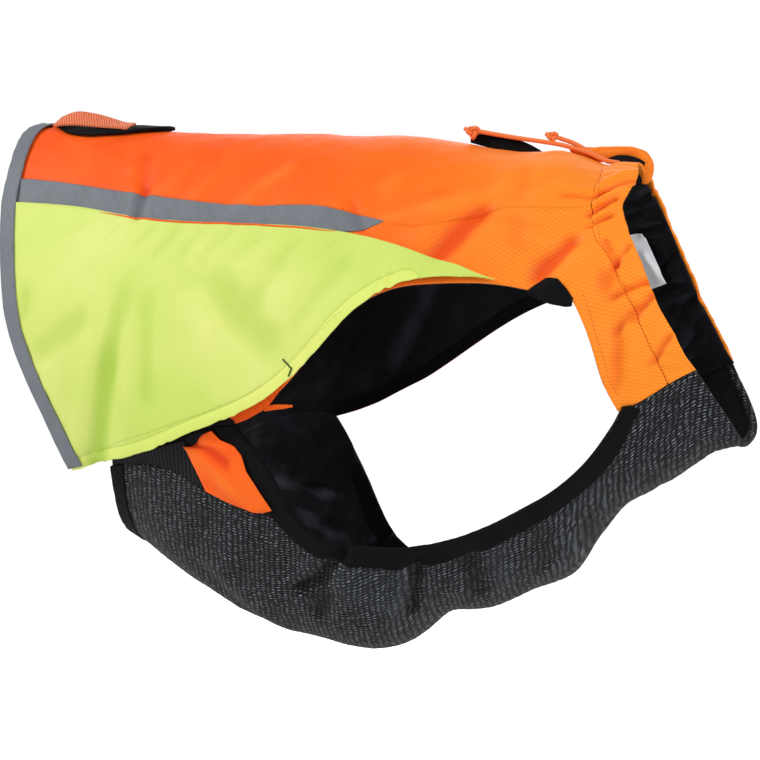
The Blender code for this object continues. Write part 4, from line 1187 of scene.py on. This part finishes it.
# %% Rear straps
INSERT_CREASES = (
    ((-150, -103.5), (-112, -107.5), 4.0, -1.6), ((-146, -110), (-112, -114), 7.0, 0.7),
    ((-128, -114), (-102, -118), 4.0, -0.8),
)
INSERT_Z = (-265, -250, -234, -223, -214, -206)
INSERT_REAR = (-113, -135, -144, -151, -157, -150)
INSERT_FRONT = (-74, -79, -85, -92, -103, -112)
INSERT_SEEN = (-83, -92, -101, -104, -116, -127)


def pulled(x, girth):
    """How far the strap's top is pulled towards the neck, in millimetres."""
    top = np.clip((118 - np.abs(girth)) / 13, 0, 1) ** 1.3
    return 8.0 * top * np.clip((x + 200) / 55, 0, 1)


def pulled_strap(mesh, points, x, girth, out):
    return slid(points, x, girth, pulled(x, girth), 0)


def bulging(mesh, points, x, girth, out):
    """The near insert laps over the binding with a rounded front edge."""
    # The insert's fold attribute is 2.2 times its creases, for a deeper painted shade in its folds.
    carry(mesh, "fold", 2.2 * crease_height(x, girth, INSERT_CREASES))
    z = points[:, 2] * PER_METRE
    rear, front = np.interp(z, INSERT_Z, INSERT_REAR), np.interp(z, INSERT_Z, INSERT_FRONT)
    share = np.clip((x - rear) / (front - rear), 0, 1)
    step = pulled(x, girth) * (1 - share) + (np.interp(z, INSERT_Z, INSERT_SEEN) - front) * share
    lap = 0.4 + 0.6 * np.clip((share - 0.1) / 0.3, 0, 1)
    down = -5.0 * np.clip((z + 218) / 10, 0, 1)
    return raised(slid(points, x, girth, step, down), out, 3.4 * lap)


near_strap = cloth_piece("strap_near", "strap_elastic_near", "elastic", 3, pulled_strap)
far_strap = cloth_piece("strap_far", "strap_elastic_far", "elastic", 3)
near_insert = cloth_piece("insert_near", "strap_insert_near", "shell", 3, bulging,
                          creases=INSERT_CREASES)
far_insert = cloth_piece("insert_far", "strap_insert_far", "shell", 3)

# %% [markdown]
# Small pieces finish the vest: rolled elastic under the front corner of each armhole, a black
# strip under the cord, the webbing loop on its patch, the blank label inside the neck, and the
# pointed end of the turned hem.

# %% Small pieces
def label_in(mesh, points, x, girth, out):
    """The label hangs clear of the gathered lining and curls a little."""
    return raised(points, out, -(2.9 + 0.5 * np.sin(0.09 * girth * ARC)))


def under_cord(mesh, points, x, girth, out):
    """The strip fills the dip between the back and the cord, and runs out to a point."""
    low = points[:, 2] * PER_METRE < np.interp(x, (29, 52, 83), (-1.5, -5.5, -10))
    points[:, 2] += np.where(low, -1.6, 1.6 - 5.5 * np.clip((x - 64) / 19, 0, 1) ** 1.5) * MM
    return points


def thicker_front(mesh, points, x, girth, out):
    """The patch is folded double towards the neck."""
    outer = (points_of(mesh, "normal") * out).sum(axis=1) > 0.2
    return raised(points, out, 1.3 * np.clip((x + 250) / 25, 0, 1) * outer)


near_corner = cloth_piece("corner_near", "corner_elastic_near", "binding", 3, swollen(1.1, 0.5))
far_corner = cloth_piece("corner_far", "corner_elastic_far", "binding", 3, swollen(0.6, 0.3))
back_strip = cloth_piece("back_strip", "neck_strip", "binding", 3, under_cord, creases=())
patch_cloth = cloth_piece("patch_cloth", "loop_patch", "binding", 3, thicker_front)
webbing = cloth_piece("webbing", "webbing_loop", "webbing", 3, creases=(), ripple=0.2)
blank_label = cloth_piece("blank_label", "label", "label", 4, label_in)
hem_point = cloth_piece("hem_point", "hem_tab", "shell", 3)

# %% [markdown]
# Two pieces have no solid of their own, because they lie on others. The orange side panel's
# hem is turned and shows as a strip under the near flap. It is placed on the pieces that carry
# it: a ray sent in towards the body finds the surface at an address. The knit wraps the low
# neck edge in a roll, which follows a short table of places.


# %% Finding the surface
RAY_START, RAY_REACH = 0.03, 0.06  # metres outside the form where a ray starts, and its length


def skin_of(*pieces):
    """Search tree of finished pieces."""
    shape = bmesh.new()
    for piece in pieces:
        shape.from_mesh(piece.data)
    tree = BVHTree.FromBMesh(shape)
    shape.free()
    return tree


def on_skin(tree, x, girth, above=0.0):
    """Outermost point at an address in millimetres, and the outward direction there."""
    middle, tall, wide = body_size(x)
    turn = math.radians(girth)
    out = Vector((0, math.sin(turn) / wide, math.cos(turn) / tall)).normalized()
    foot = Vector((x, wide * math.sin(turn), middle + tall * math.cos(turn))) * MM
    point, _, _, _ = tree.ray_cast(foot + out * RAY_START, -out, RAY_REACH)
    return (point or foot) + out * above * MM, out


# %% Turned orange hem
HEM_TOP = ((-118.5, 94.5), (-105, 91.5), (-93.4, 89.5), (-86.6, 87.8), (-78.2, 85.6), (-66, 83.0))
HEM_LOW = ((-109.0, 97.9), (-97.5, 95.8), (-86.7, 93.6), (-82.0, 92.2), (-76.7, 90.0), (-67.5, 86.0))


def along_line(line, share):
    """Place in a line of addresses, by the share of the way through it."""
    at = share * (len(line) - 1)
    k = min(int(at), len(line) - 2)
    return [a + (b - a) * (at - k) for a, b in zip(line[k], line[k + 1])]


def hem_strip():
    """Strip on the near side panel and the belly part, under the flap's hem."""
    carried_by = skin_of(near_side_cloth, near_belly_edge, near_facing)
    shape = bmesh.new()
    bmesh.ops.create_grid(shape, x_segments=24, y_segments=5, size=1)
    for vert in shape.verts:
        share, down = (vert.co.x + 1) / 2, (1 - vert.co.y) / 2
        (x0, g0), (x1, g1) = along_line(HEM_TOP, share), along_line(HEM_LOW, share)
        pucker = 0.35 * math.sin(1.1 * x0) * down
        vert.co, _ = on_skin(carried_by, x0 + (x1 - x0) * down, -(g0 + (g1 - g0) * down), 0.9 + pucker)
    bmesh.ops.solidify(shape, geom=shape.faces, thickness=0.8 * MM)
    bmesh.ops.recalc_face_normals(shape, faces=shape.faces)
    # The strip under the flap is given a painted shadow, as of a fold 1.6 mm deep.
    return new_cloth_piece("hem_strip_near", shape, "shell", 1, depth=-1.6)


near_hem_strip = hem_strip()

# %% Rolled knit at the neck
NECK_ROLL = (  # x, y, z of the middle, radius
    (204, 50.5, -156.5, 1.2), (209, 48.4, -163.5, 2.4), (217, 42.0, -175.8, 3.1), (229, 27.7, -195.5, 3.4),
    (232, 17.0, -205.8, 3.3), (229, 7.0, -211.0, 3.0), (228, 0.0, -212.0, 2.8), (227, -11.9, -209.4, 2.6),
    (225, -23.4, -201.6, 2.2), (222, -31.0, -193.0, 1.2),
)
roll_rings = [((x - 2.5, y, z + 0.5), r, r, (1, 0, 0.2)) for x, y, z, r in NECK_ROLL]
neck_roll = new_cloth_piece("neck_roll", tube(roll_rings, 12), "knit", 2, knit_rows)

# %% [markdown]
# Stitches hold it all together and show as rows of short dashes. One small ball, stretched to
# a dash, is copied along each line at the stitch pitch, turned along the line and set on the
# surface that a ray finds there. All the dashes of one line make one piece.


# %% Thread
def thread(name, code):
    material, tree, shader, _ = new_cloth(name, 0.7, 0.05, 0.25)
    twist = wave(tree, in_millimetres(tree), 0.5, 0.5)
    dark = [v * 0.6 for v in linear(code)[:3]] + [1]
    coloured(tree, shader, tint(tree, twist, dark, code))
    relief(tree, shader, twist, 0.4, 0.0001)
    return material


RED_THREAD, BLACK_THREAD = thread("red orange thread", "c2400f"), thread("black thread", "17171a")
OLIVE_THREAD, GREY_THREAD = thread("olive thread", "9fb03c"), thread("light grey thread", "c6cad0")

# %% Rows of stitches
BALL_FACES = 20  # faces of the ball that is stretched to a dash

# Pitch, length and thickness of the dashes in millimetres
SHELL_STITCH = (2.6, 1.5, 0.45)
HEM_STITCH, TAPE_STITCH = (2.8, 1.9, 0.4), (2.8, 1.6, 0.4)
HEM_TACK, KNIT_TACK = (1.0, 2.2, 1.5), (1.2, 2.0, 1.0)


def stitches(name, line, side, carried_by, finish, size):
    """Row of stitches along a line of addresses on one side, -1 for near and 1 for far."""
    pitch, long, thick = size
    tree = skin_of(*carried_by)
    route = []
    for (x0, g0), (x1, g1) in zip(line, line[1:]):
        count = max(1, round(math.hypot(x1 - x0, (g1 - g0) * ARC) / (pitch / 4)))
        route += [(x0 + (x1 - x0) * k / count, g0 + (g1 - g0) * k / count) for k in range(count)]
    places = [on_skin(tree, x, side * g, 0.05) for x, g in route]
    shape = bmesh.new()
    run = 0.0
    for k in range(1, len(places) - 1):
        run += (places[k][0] - places[k - 1][0]).length / MM
        if run < pitch:
            continue
        run -= pitch
        point, out = places[k]
        along = (places[k + 1][0] - places[k - 1][0]).normalized()
        across = out.cross(along).normalized()
        turn = Matrix((along * long / 2 * MM, across * thick / 2 * MM, out * thick / 2 * MM)).transposed()
        turn = turn.to_4x4()
        turn.translation = point
        bmesh.ops.create_icosphere(shape, subdivisions=1, radius=1, matrix=turn)
    bmesh.ops.recalc_face_normals(shape, faces=shape.faces)
    mesh = bpy.data.meshes.new(name)
    shape.to_mesh(mesh)
    shape.free()
    mesh.materials.append(finish)
    mesh.shade_smooth()
    print(name, len(mesh.polygons) // BALL_FACES, "stitches")
    return placed(name, mesh)


# %% Stitch lines
CASING_SEAM = ((128, 5), (135, 28.5), (137, 40), (140, 50), (143, 57), (150, 63), (155, 68.5), (160, 74),
               (164, 79), (168, 84), (172, 90), (177, 96), (181, 102), (185, 109), (187, 113))
CHEST_SEAM = ((134, 72.5), (139, 80), (144, 89), (148, 96.5), (150, 103.6), (156, 111))


def moved_in(line, by):
    """Line of addresses moved by millimetres towards the back."""
    found = []
    for k, (x, g) in enumerate(line):
        (x0, g0), (x1, g1) = line[max(k - 1, 0)], line[min(k + 1, len(line) - 1)]
        run = Vector((x1 - x0, (g1 - g0) * ARC)).normalized()
        found.append((x + run.y * by, g - run.x * by / ARC))
    return tuple(found)


def hem_line(flap, depth):
    """Line of addresses at a distance from a flap's hem, read from the finished flap."""
    points = points_of(flap.data)
    x, girth, out = address(points)
    rim = np.empty(len(x))
    flap.data.attributes["hem_distance"].data.foreach_get("value", rim)
    outer = (points_of(flap.data, "normal") * out).sum(axis=1) > 0
    found = []
    for middle in range(-232, 36, 9):
        close = outer & (np.abs(rim - depth) < 1.3) & (np.abs(x - middle) < 5) & (flap_drop(x, girth) > 0.5)
        if close.any():
            found.append((x[close].mean(), np.abs(girth[close]).mean()))
    return tuple(found)


def low_edge(tape, first, last):
    """Line of addresses along a tape's lower edge, between two places along the vest."""
    x, girth, _ = address(points_of(tape.data))
    return tuple((middle, np.abs(girth[np.abs(x - middle) < 4]).max()) for middle in range(first, last, 12))


for side, word, side_cloth, casing, flap, tape in (
        (-1, "near", near_side_cloth, near_casing, near_flap_cloth, near_tape_cloth),
        (1, "far", far_side_cloth, far_casing, far_flap_cloth, far_tape_cloth)):
    stitches("casing_stitches_" + word, CASING_SEAM, side, (back_cloth, side_cloth, casing),
             RED_THREAD, SHELL_STITCH)
    stitches("chest_stitches_" + word, CHEST_SEAM, side, (side_cloth,), RED_THREAD, SHELL_STITCH)
    stitches("hem_stitches_" + word, hem_line(flap, HEM_DEPTH), side, (flap,), OLIVE_THREAD, HEM_STITCH)
    stitches("tape_stitches_" + word, moved_in(low_edge(tape, -296, -36), 2.0), side, (tape,),
             GREY_THREAD, TAPE_STITCH)

# %% [markdown]
# Where a seam takes the most pull, a bar tack holds it: a few thick stitches on top of each
# other. One closes the near flap's hem, and a small one holds the near casing to the knit.

# %% Bar tacks
GREEN_THREAD = thread("dark green thread", "465c1e")
stitches("hem_tack", ((-69.5, 82.0), (-62.0, 83.8), (-64, 85.6)), -1, (near_flap_cloth,),
         GREEN_THREAD, HEM_TACK)
stitches("knit_tack", ((186, 111.8), (191.8, 117.6)), -1, (near_side_cloth, near_casing, belly_cloth),
         BLACK_THREAD, KNIT_TACK)

# %% [markdown]
# Along most of each side tape, a thin line of the orange shell's turned edge shows under it.
# It is a fine tube that follows the tape's lower edge and runs out at both ends.


# %% Orange line under the tape
LINE_STEPS, LINE_TAPER = 60, 9


def turned_line(name, side, flap, tape):
    tree = skin_of(flap)
    line = moved_in(low_edge(tape, -228, -34), 0.3)
    rings = []
    for k in range(LINE_STEPS + 1):
        x, g = along_line(line, k / LINE_STEPS)
        point, out = on_skin(tree, x, side * g, 0.25)
        taper = min(1.0, (k + 1) / LINE_TAPER, (LINE_STEPS + 1 - k) / LINE_TAPER)
        rings.append((tuple(point / MM), 0.7 * taper, 0.5 * taper, tuple(out)))
    # The line is given the painted shade of a fold 1 mm deep.
    return new_cloth_piece(name, tube(rings, 8), "shell", 1, depth=-1.0)


near_turned_line = turned_line("turned_line_near", -1, near_flap_cloth, near_tape_cloth)
far_turned_line = turned_line("turned_line_far", 1, far_flap_cloth, far_tape_cloth)

# %% [markdown]
# A strip is a plain rectangle. A shaped pattern piece has its own stated area, one for both
# sides, since a vest's sides are cut alike.


# %% Cut sizes
def cut(piece, width, length, held, area=None):
    """Print a cloth piece's stated cut and the finished piece's share of it."""
    stated = area or width * length
    finished = sum(face.area for face in piece.data.polygons) / 2
    print(f"cut {piece.name}: {width} x {length} m, stated {stated:.5f} m2, finished {finished:.5f}, "
          f"share {finished / stated:.2f}, {held}")


cut(back_cloth, 0.17, 0.46, "draped")
for side_cloth in (near_side_cloth, far_side_cloth):
    cut(side_cloth, 0.21, 0.51, "draped", area=0.0605)
cut(lining_cloth, 0.53, 0.62, "draped", area=0.20)
for facing in (near_facing, far_facing):
    cut(facing, 0.011, 0.27, "folded")
for casing in (near_casing, far_casing):
    cut(casing, 0.024, 0.23, "gathered")
cut(nape_band, 0.014, 0.073, "gathered")
cut(near_flap_cloth, 0.20, 0.39, "hung", area=0.047)
cut(far_flap_cloth, 0.20, 0.39, "hung", area=0.047)
cut(near_tape_cloth, 0.02, 0.31, "laid")
cut(far_tape_cloth, 0.02, 0.31, "laid")
cut(rear_tape, 0.026, 0.70, "folded")
cut(belly_cloth, 0.30, 0.47, "stretched", area=0.098)
cut(belly_lining_cloth, 0.30, 0.47, "draped", area=0.108)
for edge in (near_belly_edge, far_belly_edge):
    cut(edge, 0.029, 0.42, "folded")
cut(belly_rear_edge, 0.029, 0.21, "folded")
for strap, insert in ((near_strap, near_insert), (far_strap, far_insert)):
    cut(strap, 0.013, 0.085, "stretched")
    cut(insert, 0.05, 0.085, "draped", area=0.0025)
for corner in (near_corner, far_corner):
    cut(corner, 0.016, 0.036, "gathered")
cut(back_strip, 0.01, 0.055, "laid")
cut(patch_cloth, 0.052, 0.095, "laid")
cut(webbing, 0.016, 0.07, "folded")
cut(blank_label, 0.016, 0.044, "hung")
cut(near_hem_strip, 0.012, 0.06, "folded")
cut(neck_roll, 0.01, 0.111, "folded")
